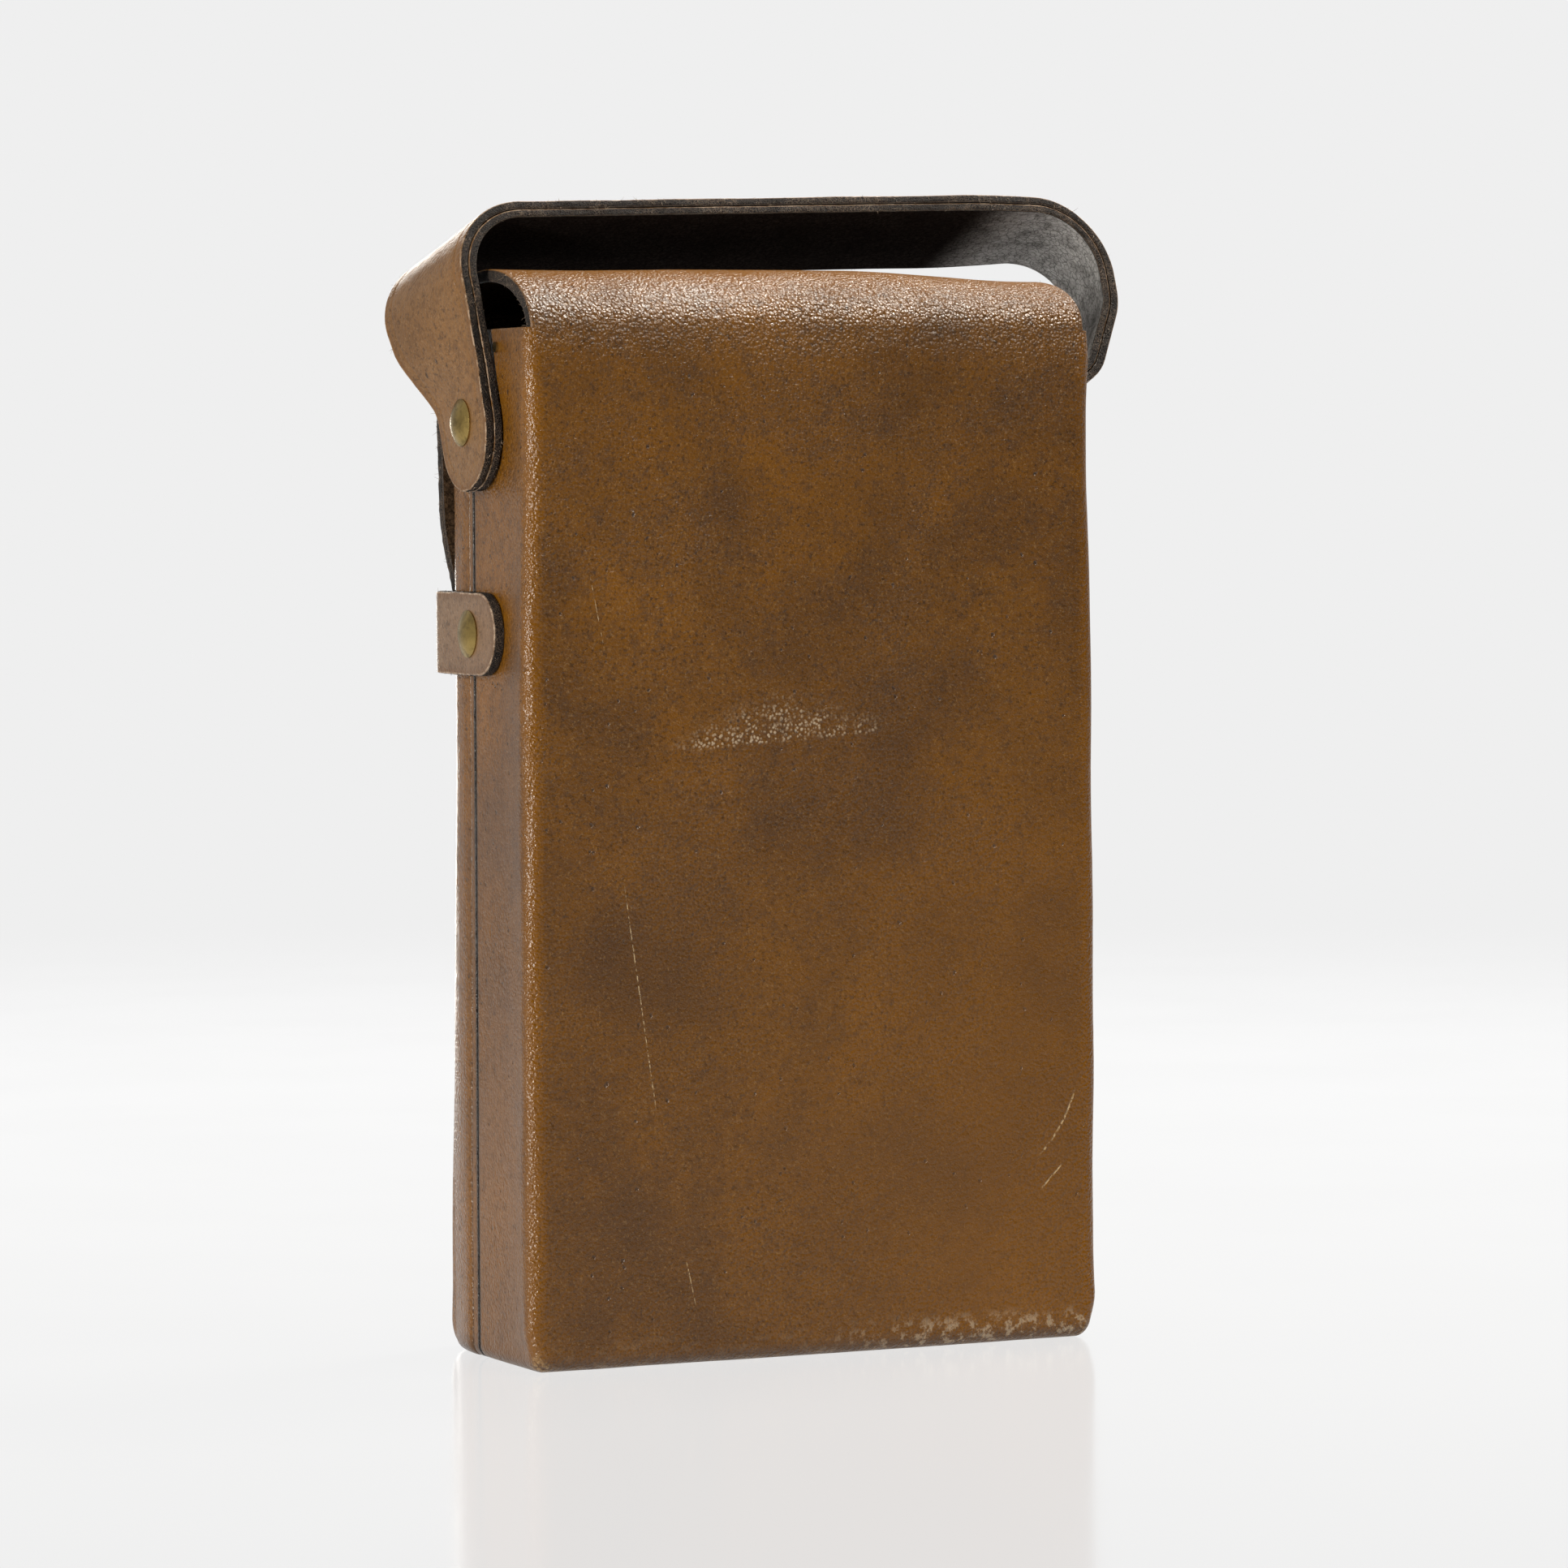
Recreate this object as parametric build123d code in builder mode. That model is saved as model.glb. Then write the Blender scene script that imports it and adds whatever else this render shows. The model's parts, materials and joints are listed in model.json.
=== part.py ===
"""Selenium light meter in its closed leather carrying case, with a riveted strap handle.

Frame: +Z up, origin on the floor under the middle of the case. -Y is the front, where the lid
flap is tucked under the keeper strap, and +Y is the plain back. All lengths are millimetres.
"""

from build123d import *
import os
from math import cos, radians, sin

os.makedirs("parts", exist_ok=True)

# ------------------------------------------------------------------ driving dimensions

# Leather case
case_width = 118.0
wall_height = 196.0
back_y = 20.25
shoulder_y = -21.6  # front face at the mouth
waist_y, waist_z = -20.2, 112.0  # narrowest place of the front face
foot_y = -25.2  # front face where it bellies out at the foot
leather = 2.4
heel_radius = 5.0
toe_radius = 6.0
back_edge_radius = 3.0
front_edge_radius = 5.0
inner_edge_radius = 1.5
seam_y = -7.2
seam_gap = 0.4
mouth_corner_radius = 3.0
lining_inset = leather + 0.05
lining_thickness = 0.8
lining_top = 188.0
touch_gap = 0.05

# Lid, one sheet of leather carried over from the back
roll_rise = 10.5
lid_half_width = 58.0
lid_tip_half_width = 55.4
lid_tip_z = 118.0
lid_tip_corner = 18.0
lid_taper_top, lid_taper_foot = 180.0, 150.0
crease_gap = 0.3
flap_stand_off = 1.8

# Handle strap, two plies, leaning forward about its rivets
rivet_y = -4.0
handle_rivet_z = 178.5
handle_lean = 21.0
strap_rise = 37.3
ply_thickness = 1.65
strap_width = 29.0
tab_width = 22.0
tab_drop = 13.0
tab_stand_off = 0.3

# Keeper strap across the front
keeper_z = 138.5
keeper_width = 15.5
keeper_thickness = 2.2
keeper_front_y = -24.1
keeper_end_y = 7.6
keeper_corner_radius = 4.5
keeper_rivet_y = -5.0

# Brass rivets
rivet_head_radius = 4.5
rivet_shank_radius = 1.5
rivet_hole_radius = rivet_shank_radius + touch_gap
handle_rivet_dome = 1.8
keeper_rivet_dome = 1.5
burr_radius = 4.0
burr_thickness = 0.7
pin_y, pin_z = 4.5, 192.6
pin_radius = 0.5
pin_head_radius = 1.0

# Meter housing, standing on the floor of the lining
housing_width = 108.0
housing_height = 183.0
housing_foot_z = lining_inset + lining_thickness + 0.1
housing_mid_z = housing_foot_z + housing_height / 2
housing_corner_radius = 8.0
housing_wall = 2.5
rear_y = 16.0
parting_y = 2.0
cover_y = -12.0
cover_inner_y = cover_y + housing_wall
rear_inner_y = rear_y - housing_wall
screw_pitch_x, screw_pitch_z = 92.0, 167.0
boss_radius = 4.0

# Selenium cell stack
cell_z = 146.0
cell_hole_radius = 30.0
bezel_outer_radius = 36.5
bezel_inner_radius = 28.0
bezel_screw_circle = 33.2
bezel_screw_count = 3

# Moving coil movement
movement_z = 70.0
pointer_zero_angle = 40.0
coil_half_width = 7.5
core_radius = 6.0
pole_bore_radius = 8.2
magnet_inner_radius = 13.0
magnet_outer_radius = 19.0
magnet_front_y, magnet_rear_y = 2.0, 10.0
staff_radius = 0.4
plate_y = -3.2
pointer_y = -4.65
pointer_length = 34.0

# Exposure calculator, range knob and read button
dial_x, dial_z = -14.0, 34.0
dial_radius = 26.0
dial_inner_radius = 17.8
dial_front_y = -14.4
knob_x, knob_z = 34.0, 40.0
knob_shaft_radius = 2.0
button_y, button_z = -3.5, 100.0
button_radius = 2.5
button_rib_x = 42.5
board_x, board_z = -16.0, 28.0

half_width = case_width / 2
handle_head_x = half_width + tab_stand_off + 2 * ply_thickness + touch_gap
keeper_head_x = half_width + keeper_thickness
burr_outer_x = half_width - leather

handle_pivot = (0, rivet_y, handle_rivet_z)
lean_cos, lean_sin = cos(radians(handle_lean)), sin(radians(handle_lean))
strap_plane = Plane(handle_pivot, x_dir=(1, 0, 0), z_dir=(0, -lean_cos, -lean_sin))
strap_side_plane = Plane(handle_pivot, x_dir=(0, lean_cos, lean_sin), z_dir=(1, 0, 0))


# ------------------------------------------------------------------ helpers


def front_plane(y):
    """A plane across the object at depth y that faces the front."""
    return Plane.XZ.offset(-y)


def below_mouth(edge):
    """True for the edges that don't run round the open mouth."""
    return edge.center().Z < wall_height - 0.5


def finish_part(builder, name):
    """Label one finished sub-part and write it."""
    builder.part.label = name
    export_step(builder.part, f"parts/{name}.step")


def case_section(inset):
    """Side view of the case, drawn this far inside the leather's outer face."""
    with BuildSketch(Plane.YZ) as section:
        with BuildLine():
            heel = CenterArc((back_y - heel_radius, heel_radius), heel_radius - inset, 270, 90)
            back = Line(heel @ 1, (back_y - inset, wall_height))
            mouth = Line(back @ 1, (shoulder_y + inset, wall_height))
            toe = CenterArc((foot_y + toe_radius, toe_radius), toe_radius - inset, 180, 90)
            Spline(mouth @ 1, (waist_y + inset, waist_z), toe @ 0, tangents=((0.03, -1), (0, -1)))
            Line(toe @ 1, heel @ 0)
        make_face()
    return section.sketch


def case_block(inset, edge_radius):
    """The case's whole form as a solid block, with its side edges rounded."""
    with BuildPart() as block:
        extrude(case_section(inset), amount=half_width - inset, both=True)
        side_edges = block.faces().filter_by(Axis.X).edges().filter_by(below_mouth)
        fillet(side_edges, edge_radius)
    return block.part


def wall_holes():
    """The rivet and pin holes through both side walls, as one cutter sketch."""
    with BuildSketch(Plane.YZ) as holes:
        with Locations((rivet_y, handle_rivet_z), (keeper_rivet_y, keeper_z)):
            Circle(rivet_hole_radius)
        with Locations((pin_y, pin_z)):
            Circle(pin_radius + touch_gap)
    return holes.sketch


def band_region(points, radii):
    """The area that a bent strap's inner face encloses."""
    with BuildSketch() as region:
        with BuildLine():
            inner_face = FilletPolyline(*points, radius=radii)
            Line(inner_face @ 1, inner_face @ 0)
        make_face()
    return region.sketch


def band(region, low, high):
    """The strip between two offsets of a region's outline."""
    inner = offset(region, amount=low) if low > 0 else region
    return offset(region, amount=high) - inner


def screw_row(builder_plane, points, head_radius, head_height, shank_radius, shank_length):
    """Slotted cheese-head screws whose heads stand in front of the plane."""
    with BuildPart() as screws:
        with BuildSketch(builder_plane):
            with Locations(*points):
                Circle(head_radius)
        extrude(amount=head_height)
        with BuildSketch(builder_plane):
            with Locations(*points):
                Circle(shank_radius)
        extrude(amount=-shank_length)
        with BuildSketch(builder_plane.offset(head_height)):
            with Locations(*points):
                Rectangle(2.2 * head_radius, 0.25 * head_radius)
        extrude(amount=-0.4 * head_height, mode=Mode.SUBTRACT)
    return screws


# ------------------------------------------------------------------ leather case

cavity = case_block(leather, inner_edge_radius)
holes = wall_holes()
back_form = case_block(0, back_edge_radius) - cavity
front_form = case_block(0, front_edge_radius) - cavity
lining_form = case_block(lining_inset, inner_edge_radius) - case_block(
    lining_inset + lining_thickness, inner_edge_radius / 2
)

with BuildPart() as back_shell:
    add(back_form)
    split(bisect_by=front_plane(seam_y + seam_gap / 2), keep=Keep.BOTTOM)
    mouth_edges = back_shell.edges().filter_by(Axis.X).group_by(Axis.Z)[-1]
    fillet(mouth_edges.group_by(Axis.Y)[0], mouth_corner_radius)
    extrude(holes, amount=case_width, both=True, mode=Mode.SUBTRACT)
finish_part(back_shell, "back_shell")

with BuildPart() as front_tray:
    add(front_form)
    split(bisect_by=front_plane(seam_y - seam_gap / 2), keep=Keep.TOP)
    mouth_edges = front_tray.edges().filter_by(Axis.X).group_by(Axis.Z)[-1]
    fillet(mouth_edges.group_by(Axis.Y)[-1], mouth_corner_radius)
finish_part(front_tray, "front_tray")

with BuildPart() as case_lining:
    add(lining_form)
    split(bisect_by=Plane.XY.offset(lining_top), keep=Keep.BOTTOM)
    with BuildSketch(Plane.YZ):
        with Locations((rivet_y, handle_rivet_z), (keeper_rivet_y, keeper_z)):
            Circle(burr_radius + 4 * touch_gap)
    extrude(amount=case_width, both=True, mode=Mode.SUBTRACT)
finish_part(case_lining, "case_lining")

with BuildPart() as wall_pins:
    with BuildSketch(Plane.YZ.offset(half_width)):
        with Locations((pin_y, pin_z)):
            Circle(pin_head_radius)
    extrude(amount=0.4)
    with BuildSketch(Plane.YZ.offset(half_width)):
        with Locations((pin_y, pin_z)):
            Circle(pin_radius)
    extrude(amount=-leather)
    mirror(about=Plane.YZ)
finish_part(wall_pins, "wall_pins")

# ------------------------------------------------------------------ lid

roll_back_y = back_y
roll_front_y = shoulder_y - flap_stand_off - leather
roll_mid_y = (roll_back_y + roll_front_y) / 2
roll_half_depth = (roll_back_y - roll_front_y) / 2
crease_z = wall_height + crease_gap


def flap_face(offset_y):
    """The points down the flap's front, this far in front of its inner face."""
    shoulder = (roll_front_y + leather - offset_y, crease_z)
    middle = (waist_y - 1.1 - offset_y, (wall_height + lid_tip_z) / 2)
    tip = (waist_y - 0.5 - offset_y, lid_tip_z)
    return shoulder, middle, tip


with BuildPart() as lid_flap:
    with BuildSketch(Plane.YZ):
        with BuildLine():
            roll_centre = (roll_mid_y, crease_z)
            outer_rise = roll_rise - crease_gap
            outer_roll = EllipticalCenterArc(
                roll_centre, roll_half_depth, outer_rise, start_angle=0, arc_size=180
            )
            outer_drop = Spline(*flap_face(leather), tangents=((0, -1), (0, -1)))
            tip_edge = Line(outer_drop @ 1, flap_face(0)[-1])
            inner_drop = Spline(*reversed(flap_face(0)), tangents=((0, 1), (0, 1)))
            inner_roll = EllipticalCenterArc(
                roll_centre,
                roll_half_depth - leather,
                outer_rise - leather,
                start_angle=0,
                arc_size=180,
            )
            Line(inner_roll @ 0, outer_roll @ 0)
        make_face()
    extrude(amount=lid_half_width, both=True)
    with BuildSketch(Plane.XZ):
        with BuildLine():
            outline = FilletPolyline(
                (-lid_half_width, lid_taper_top),
                (-lid_tip_half_width, lid_taper_foot),
                (-lid_tip_half_width, lid_tip_z),
                (lid_tip_half_width, lid_tip_z),
                (lid_tip_half_width, lid_taper_foot),
                (lid_half_width, lid_taper_top),
                radius=(12.0, lid_tip_corner, lid_tip_corner, 12.0),
            )
            Polyline(
                outline @ 1,
                (lid_half_width, wall_height + 2 * roll_rise),
                (-lid_half_width, wall_height + 2 * roll_rise),
                outline @ 0,
            )
        make_face()
    extrude(amount=case_width, both=True, mode=Mode.INTERSECT)
finish_part(lid_flap, "lid_flap")

# ------------------------------------------------------------------ keeper strap

strap_inner_x = half_width + tab_stand_off
keeper_reach = keeper_end_y + 20
keeper_outline = band_region(
    (
        (half_width, keeper_reach),
        (half_width, keeper_front_y),
        (-half_width, keeper_front_y),
        (-half_width, keeper_reach),
    ),
    (keeper_corner_radius, keeper_corner_radius),
)
keeper_band = band(keeper_outline, 0, keeper_thickness)

with BuildPart() as keeper_strap:
    with BuildSketch(Plane.XY.offset(keeper_z - keeper_width / 2)):
        add(keeper_band)
    extrude(amount=keeper_width)
    with BuildSketch(Plane.YZ):
        with BuildLine():
            end_radius = keeper_width / 2 - touch_gap
            end_centre_y = keeper_end_y - end_radius
            tip = CenterArc((end_centre_y, keeper_z), end_radius, -90, 180)
            front_end_y = keeper_front_y - 2 * keeper_thickness
            Polyline(
                tip @ 1,
                (front_end_y, keeper_z + end_radius),
                (front_end_y, keeper_z - end_radius),
                tip @ 0,
            )
        make_face()
    extrude(amount=case_width, both=True, mode=Mode.INTERSECT)
    with BuildSketch(Plane.YZ):
        with Locations((keeper_rivet_y, keeper_z)):
            Circle(rivet_hole_radius)
    extrude(amount=case_width, both=True, mode=Mode.SUBTRACT)
finish_part(keeper_strap, "keeper_strap")

# ------------------------------------------------------------------ handle strap

strap_region = band_region(
    (
        (strap_inner_x, -3 * tab_drop),
        (strap_inner_x, 8.0),
        (strap_inner_x + 5.6, strap_rise),
        (-strap_inner_x - 9.5, strap_rise),
        (-strap_inner_x - 9.0, 24.0),
        (-strap_inner_x, 9.0),
        (-strap_inner_x, -3 * tab_drop),
    ),
    (14.0, 8.0, 8.0, 12.0, 10.0),
)


def strap_ply(inner_offset, outer_offset):
    """One ply of the handle strap, between two offsets from its inner face."""
    ply_band = band(strap_region, inner_offset, outer_offset)
    with BuildPart() as ply:
        with BuildSketch(strap_plane):
            add(ply_band)
        extrude(amount=strap_width / 2, both=True)
        with BuildSketch(strap_side_plane):
            with BuildLine():
                tab_radius = tab_width / 2
                tab_end = CenterArc((0, tab_radius - tab_drop), tab_radius, 180, 180)
                Polyline(
                    tab_end @ 1,
                    (tab_radius, 6),
                    (strap_width / 2, 0.7 * strap_rise),
                    (strap_width / 2, 2 * strap_rise),
                    (-strap_width / 2, 2 * strap_rise),
                    (-strap_width / 2, 0.7 * strap_rise),
                    (-tab_radius, 6),
                    tab_end @ 0,
                )
            make_face()
        extrude(amount=2 * case_width, both=True, mode=Mode.INTERSECT)
        with BuildSketch(strap_side_plane):
            Circle(rivet_hole_radius)
        extrude(amount=2 * case_width, both=True, mode=Mode.SUBTRACT)
    return ply


finish_part(strap_ply(0, ply_thickness), "handle_inner_ply")
finish_part(strap_ply(ply_thickness, 2 * ply_thickness), "handle_outer_ply")

# ------------------------------------------------------------------ rivets and burrs

shank_end_x = burr_outer_x - burr_thickness
rim_thickness = 0.3
for name, y, z, head_x, dome in (
    ("handle_rivets", rivet_y, handle_rivet_z, handle_head_x, handle_rivet_dome),
    ("keeper_rivets", keeper_rivet_y, keeper_z, keeper_head_x, keeper_rivet_dome),
):
    crown_rise = dome - rim_thickness
    crown_radius = (rivet_head_radius**2 + crown_rise**2) / (2 * crown_rise)
    with BuildPart() as rivets:
        with BuildSketch(Plane((0, y, z), x_dir=(1, 0, 0), z_dir=(0, -1, 0))):
            with BuildLine():
                stem = Polyline(
                    (shank_end_x, 0),
                    (shank_end_x, rivet_shank_radius),
                    (head_x, rivet_shank_radius),
                    (head_x, rivet_head_radius),
                    (head_x + rim_thickness, rivet_head_radius),
                )
                crown = RadiusArc(stem @ 1, (head_x + dome, 0), crown_radius)
                Line(crown @ 1, stem @ 0)
            make_face()
        revolve(axis=Axis((0, y, z), (1, 0, 0)))
        mirror(about=Plane.YZ)
    finish_part(rivets, name)

for name, y, z in (
    ("handle_burrs", rivet_y, handle_rivet_z),
    ("keeper_burrs", keeper_rivet_y, keeper_z),
):
    with BuildPart() as burrs:
        with BuildSketch(Plane.YZ.offset(shank_end_x)):
            with Locations((y, z)):
                Circle(burr_radius)
                Circle(rivet_hole_radius, mode=Mode.SUBTRACT)
        extrude(amount=burr_thickness)
        mirror(about=Plane.YZ)
    finish_part(burrs, name)

# ------------------------------------------------------------------ meter housing

corner_points = [
    (side * screw_pitch_x / 2, housing_mid_z + level * screw_pitch_z / 2)
    for side in (-1, 1)
    for level in (-1, 1)
]
board_posts = ((board_x - 18, board_z), (board_x + 18, board_z))
magnet_posts = ((-16.0, movement_z), (16.0, movement_z))


def housing_outline(inset):
    """The housing's rounded rectangle, seen from the front."""
    with BuildSketch(Plane.XZ) as outline:
        with Locations((0, housing_mid_z)):
            RectangleRounded(
                housing_width - 2 * inset,
                housing_height - 2 * inset,
                housing_corner_radius - inset,
            )
    return outline.sketch


with BuildPart() as housing_rear:
    with BuildSketch(front_plane(rear_y)):
        with Locations((0, housing_mid_z)):
            RectangleRounded(housing_width, housing_height, housing_corner_radius)
    extrude(amount=rear_y - parting_y)
    fillet(housing_rear.faces().sort_by(Axis.Y)[-1].edges(), 2.0)
    with BuildSketch(front_plane(rear_inner_y)):
        with Locations((0, housing_mid_z)):
            RectangleRounded(
                housing_width - 2 * housing_wall,
                housing_height - 2 * housing_wall,
                housing_corner_radius - housing_wall,
            )
    extrude(amount=rear_inner_y - parting_y, mode=Mode.SUBTRACT)
    with BuildSketch(front_plane(rear_inner_y)):
        with Locations(*corner_points):
            Circle(boss_radius)
    extrude(amount=rear_inner_y - parting_y)
    with BuildSketch(front_plane(rear_inner_y)):
        with Locations(*magnet_posts):
            Circle(2.5)
    extrude(amount=rear_inner_y - magnet_rear_y)
    with BuildSketch(front_plane(rear_inner_y)):
        with Locations(*board_posts):
            Circle(2.5)
    extrude(amount=rear_inner_y - 9.2)
    with BuildSketch(front_plane(rear_y)):
        with Locations(*corner_points):
            Circle(3.2)
    extrude(amount=2.6, mode=Mode.SUBTRACT)
    with BuildSketch(front_plane(rear_y)):
        with Locations(*corner_points):
            Circle(rivet_hole_radius)
    extrude(amount=rear_y - parting_y, mode=Mode.SUBTRACT)
    with BuildSketch(front_plane(9.2)):
        with Locations(*board_posts):
            Circle(1.05)
    extrude(amount=-3.5, mode=Mode.SUBTRACT)
finish_part(housing_rear, "housing_rear")

bezel_points = [
    (
        bezel_screw_circle * sin(radians(angle)),
        cell_z + bezel_screw_circle * cos(radians(angle)),
    )
    for angle in range(0, 360, 360 // bezel_screw_count)
]

with BuildPart() as housing_front:
    with BuildSketch(front_plane(parting_y)):
        with Locations((0, housing_mid_z)):
            RectangleRounded(housing_width, housing_height, housing_corner_radius)
    extrude(amount=parting_y - cover_y)
    fillet(housing_front.faces().sort_by(Axis.Y)[0].edges(), 2.0)
    with BuildSketch(front_plane(parting_y)):
        with Locations((0, housing_mid_z)):
            RectangleRounded(
                housing_width - 2 * housing_wall,
                housing_height - 2 * housing_wall,
                housing_corner_radius - housing_wall,
            )
    extrude(amount=parting_y - cover_inner_y, mode=Mode.SUBTRACT)
    # Bosses for the housing screws and the calculator's screw, and the button's guide rib
    with BuildSketch(front_plane(parting_y)):
        with Locations(*corner_points):
            Circle(boss_radius)
    extrude(amount=parting_y - cover_inner_y)
    with BuildSketch(front_plane(-6.0)):
        with Locations((dial_x, dial_z)):
            Circle(boss_radius)
    extrude(amount=-6.0 - cover_inner_y)
    with BuildSketch(Plane.YZ.offset(button_rib_x)):
        with Locations(((cover_inner_y + parting_y) / 2, button_z)):
            Rectangle(parting_y - cover_inner_y, 12)
    extrude(amount=1.5)
    # Openings for the cell, the scale window and the spindles
    with BuildSketch(front_plane(cover_inner_y + 4)):
        with Locations((0, cell_z)):
            Circle(cell_hole_radius)
        with Locations((0, 94)):
            RectangleRounded(70, 24, 3)
        with Locations((0, movement_z), (dial_x, dial_z)):
            Circle(rivet_hole_radius)
        with Locations((knob_x, knob_z)):
            Circle(knob_shaft_radius + touch_gap)
        with Locations(*bezel_points):
            Circle(1.1)
    extrude(amount=10, mode=Mode.SUBTRACT)
    with BuildSketch(front_plane(parting_y)):
        with Locations(*corner_points):
            Circle(rivet_hole_radius)
    extrude(amount=9, mode=Mode.SUBTRACT)
    with BuildSketch(Plane.YZ.offset(45)):
        with Locations((button_y, button_z)):
            Circle(button_radius + touch_gap)
    extrude(amount=15, mode=Mode.SUBTRACT)
    with BuildSketch(Plane.YZ.offset(40)):
        with Locations((button_y, button_z)):
            Circle(1.05)
    extrude(amount=6, mode=Mode.SUBTRACT)
finish_part(housing_front, "housing_front")

counterbore_plane = Plane((0, rear_y - 2.6, 0), x_dir=(-1, 0, 0), z_dir=(0, 1, 0))
mirrored_corners = [(-x, z) for x, z in corner_points]
housing_screws = screw_row(counterbore_plane, mirrored_corners, 3.0, 2.3, rivet_shank_radius, 18.0)
finish_part(housing_screws, "housing_screws")

# ------------------------------------------------------------------ selenium cell stack

holder_front_y = cover_inner_y + touch_gap
cell_front_y = -8.7

with BuildPart() as cell_bezel:
    with BuildSketch(front_plane(cover_y - touch_gap)):
        with Locations((0, cell_z)):
            Circle(bezel_outer_radius)
            Circle(bezel_inner_radius, mode=Mode.SUBTRACT)
        with Locations(*bezel_points):
            Circle(1.05, mode=Mode.SUBTRACT)
    extrude(amount=2.7)
    outer_edges = cell_bezel.edges().filter_by(GeomType.CIRCLE).group_by(Axis.Y)[0]
    fillet(outer_edges.group_by(SortBy.RADIUS)[-1], 1.2)
    with BuildSketch(front_plane(cover_y - touch_gap - 1.5)):
        with Locations(*bezel_points):
            Circle(2.0)
    extrude(amount=2, mode=Mode.SUBTRACT)
finish_part(cell_bezel, "cell_bezel")

bezel_screws = screw_row(
    front_plane(cover_y - touch_gap - 1.5), bezel_points, 1.9, 1.1, 1.0, 7.0
)
finish_part(bezel_screws, "bezel_screws")

with BuildPart() as cell_lens:
    with BuildSketch(front_plane(-9.35)):
        with Locations((0, cell_z)):
            Circle(cell_hole_radius - 0.3)
    extrude(amount=2.6)
finish_part(cell_lens, "cell_lens")

with BuildPart() as contact_ring:
    with BuildSketch(front_plane(cell_front_y)):
        with Locations((0, cell_z)):
            Circle(29.5)
            Circle(26.5, mode=Mode.SUBTRACT)
    extrude(amount=0.6)
finish_part(contact_ring, "contact_ring")

with BuildPart() as selenium_cell:
    with BuildSketch(front_plane(-7.1)):
        with Locations((0, cell_z)):
            Circle(cell_hole_radius)
    extrude(amount=-7.1 - cell_front_y)
finish_part(selenium_cell, "selenium_cell")

with BuildPart() as cell_holder:
    with BuildSketch(front_plane(-4.9)):
        with Locations((0, cell_z)):
            Circle(bezel_outer_radius)
    extrude(amount=-4.9 - holder_front_y)
    with BuildSketch(front_plane(-7.05)):
        with Locations((0, cell_z)):
            Circle(cell_hole_radius + 0.2)
    extrude(amount=-7.05 - holder_front_y, mode=Mode.SUBTRACT)
    with BuildSketch(front_plane(-4.9)):
        with Locations(*bezel_points):
            Circle(1.05)
    extrude(amount=-4.9 - holder_front_y, mode=Mode.SUBTRACT)
finish_part(cell_holder, "cell_holder")

# ------------------------------------------------------------------ movement


def ring_sector(inner_radius, outer_radius, start_angle, sweep):
    """A sector of a ring round the movement's axis, seen from the front."""
    with BuildSketch() as sector:
        with BuildLine():
            outer = CenterArc((0, 0), outer_radius, start_angle, sweep)
            inner = CenterArc((0, 0), inner_radius, start_angle, sweep)
            Line(inner @ 0, outer @ 0)
            Line(inner @ 1, outer @ 1)
        make_face()
    return sector.sketch


def movement_plane(y):
    """A plane facing the front, centred on the pivot axis."""
    return Plane((0, y, movement_z), x_dir=(1, 0, 0), z_dir=(0, -1, 0))


def coil_plane(y):
    """The same plane, turned to where the coil and the pointer rest at zero."""
    turn = radians(pointer_zero_angle)
    return Plane((0, y, movement_z), x_dir=(cos(turn), 0, sin(turn)), z_dir=(0, -1, 0))


with BuildPart() as magnet:
    with BuildSketch(movement_plane(magnet_rear_y)):
        add(ring_sector(magnet_inner_radius, magnet_outer_radius, -70, 320))
    extrude(amount=magnet_rear_y - magnet_front_y)
finish_part(magnet, "magnet")

with BuildPart() as pole_shoes:
    with BuildSketch(movement_plane(magnet_rear_y)):
        for start in (-60, 120):
            add(ring_sector(pole_bore_radius, magnet_inner_radius - touch_gap, start, 120))
    extrude(amount=magnet_rear_y - magnet_front_y)
finish_part(pole_shoes, "pole_shoes")

core_rear_y = 9.6
with BuildPart() as iron_core:
    with BuildSketch(movement_plane(core_rear_y)):
        Circle(core_radius)
    extrude(amount=core_rear_y - 2.4)
finish_part(iron_core, "iron_core")

with BuildPart() as rear_bridge:
    with BuildSketch(movement_plane(13.4)):
        RectangleRounded(6, 38, 2.5)
    extrude(amount=1.2)
    with BuildSketch(movement_plane(12.2)):
        with Locations((0, 4.7), (0, -4.7)):
            Circle(0.8)
    extrude(amount=12.2 - core_rear_y)
    with BuildSketch(movement_plane(12.2)):
        with Locations((0, 16)):
            Circle(1.8)
    extrude(amount=12.2 - magnet_rear_y)
    with BuildSketch(movement_plane(13.4)):
        Circle(1.45)
    extrude(amount=1.2, mode=Mode.SUBTRACT)
finish_part(rear_bridge, "rear_bridge")

with BuildPart() as front_bridge:
    with BuildSketch(movement_plane(-6.8)):
        RectangleRounded(26, 5, 2)
    extrude(amount=1.2)
    with BuildSketch(movement_plane(magnet_front_y)):
        with Locations((10.5, 0), (-10.5, 0)):
            Circle(1.4)
    extrude(amount=magnet_front_y + 6.8)
    with BuildSketch(movement_plane(-6.8)):
        Circle(1.45)
    extrude(amount=1.2, mode=Mode.SUBTRACT)
finish_part(front_bridge, "front_bridge")

with BuildPart() as jewel_screws:
    for start_y, length, cup_y in ((-5.4, 3.2, -5.4), (13.5, 1.8, 12.7)):
        with BuildSketch(movement_plane(start_y)):
            Circle(1.4)
        extrude(amount=length)
        with BuildSketch(movement_plane(cup_y)):
            Circle(staff_radius + touch_gap)
        extrude(amount=1.0, mode=Mode.SUBTRACT)
finish_part(jewel_screws, "jewel_screws")

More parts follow.
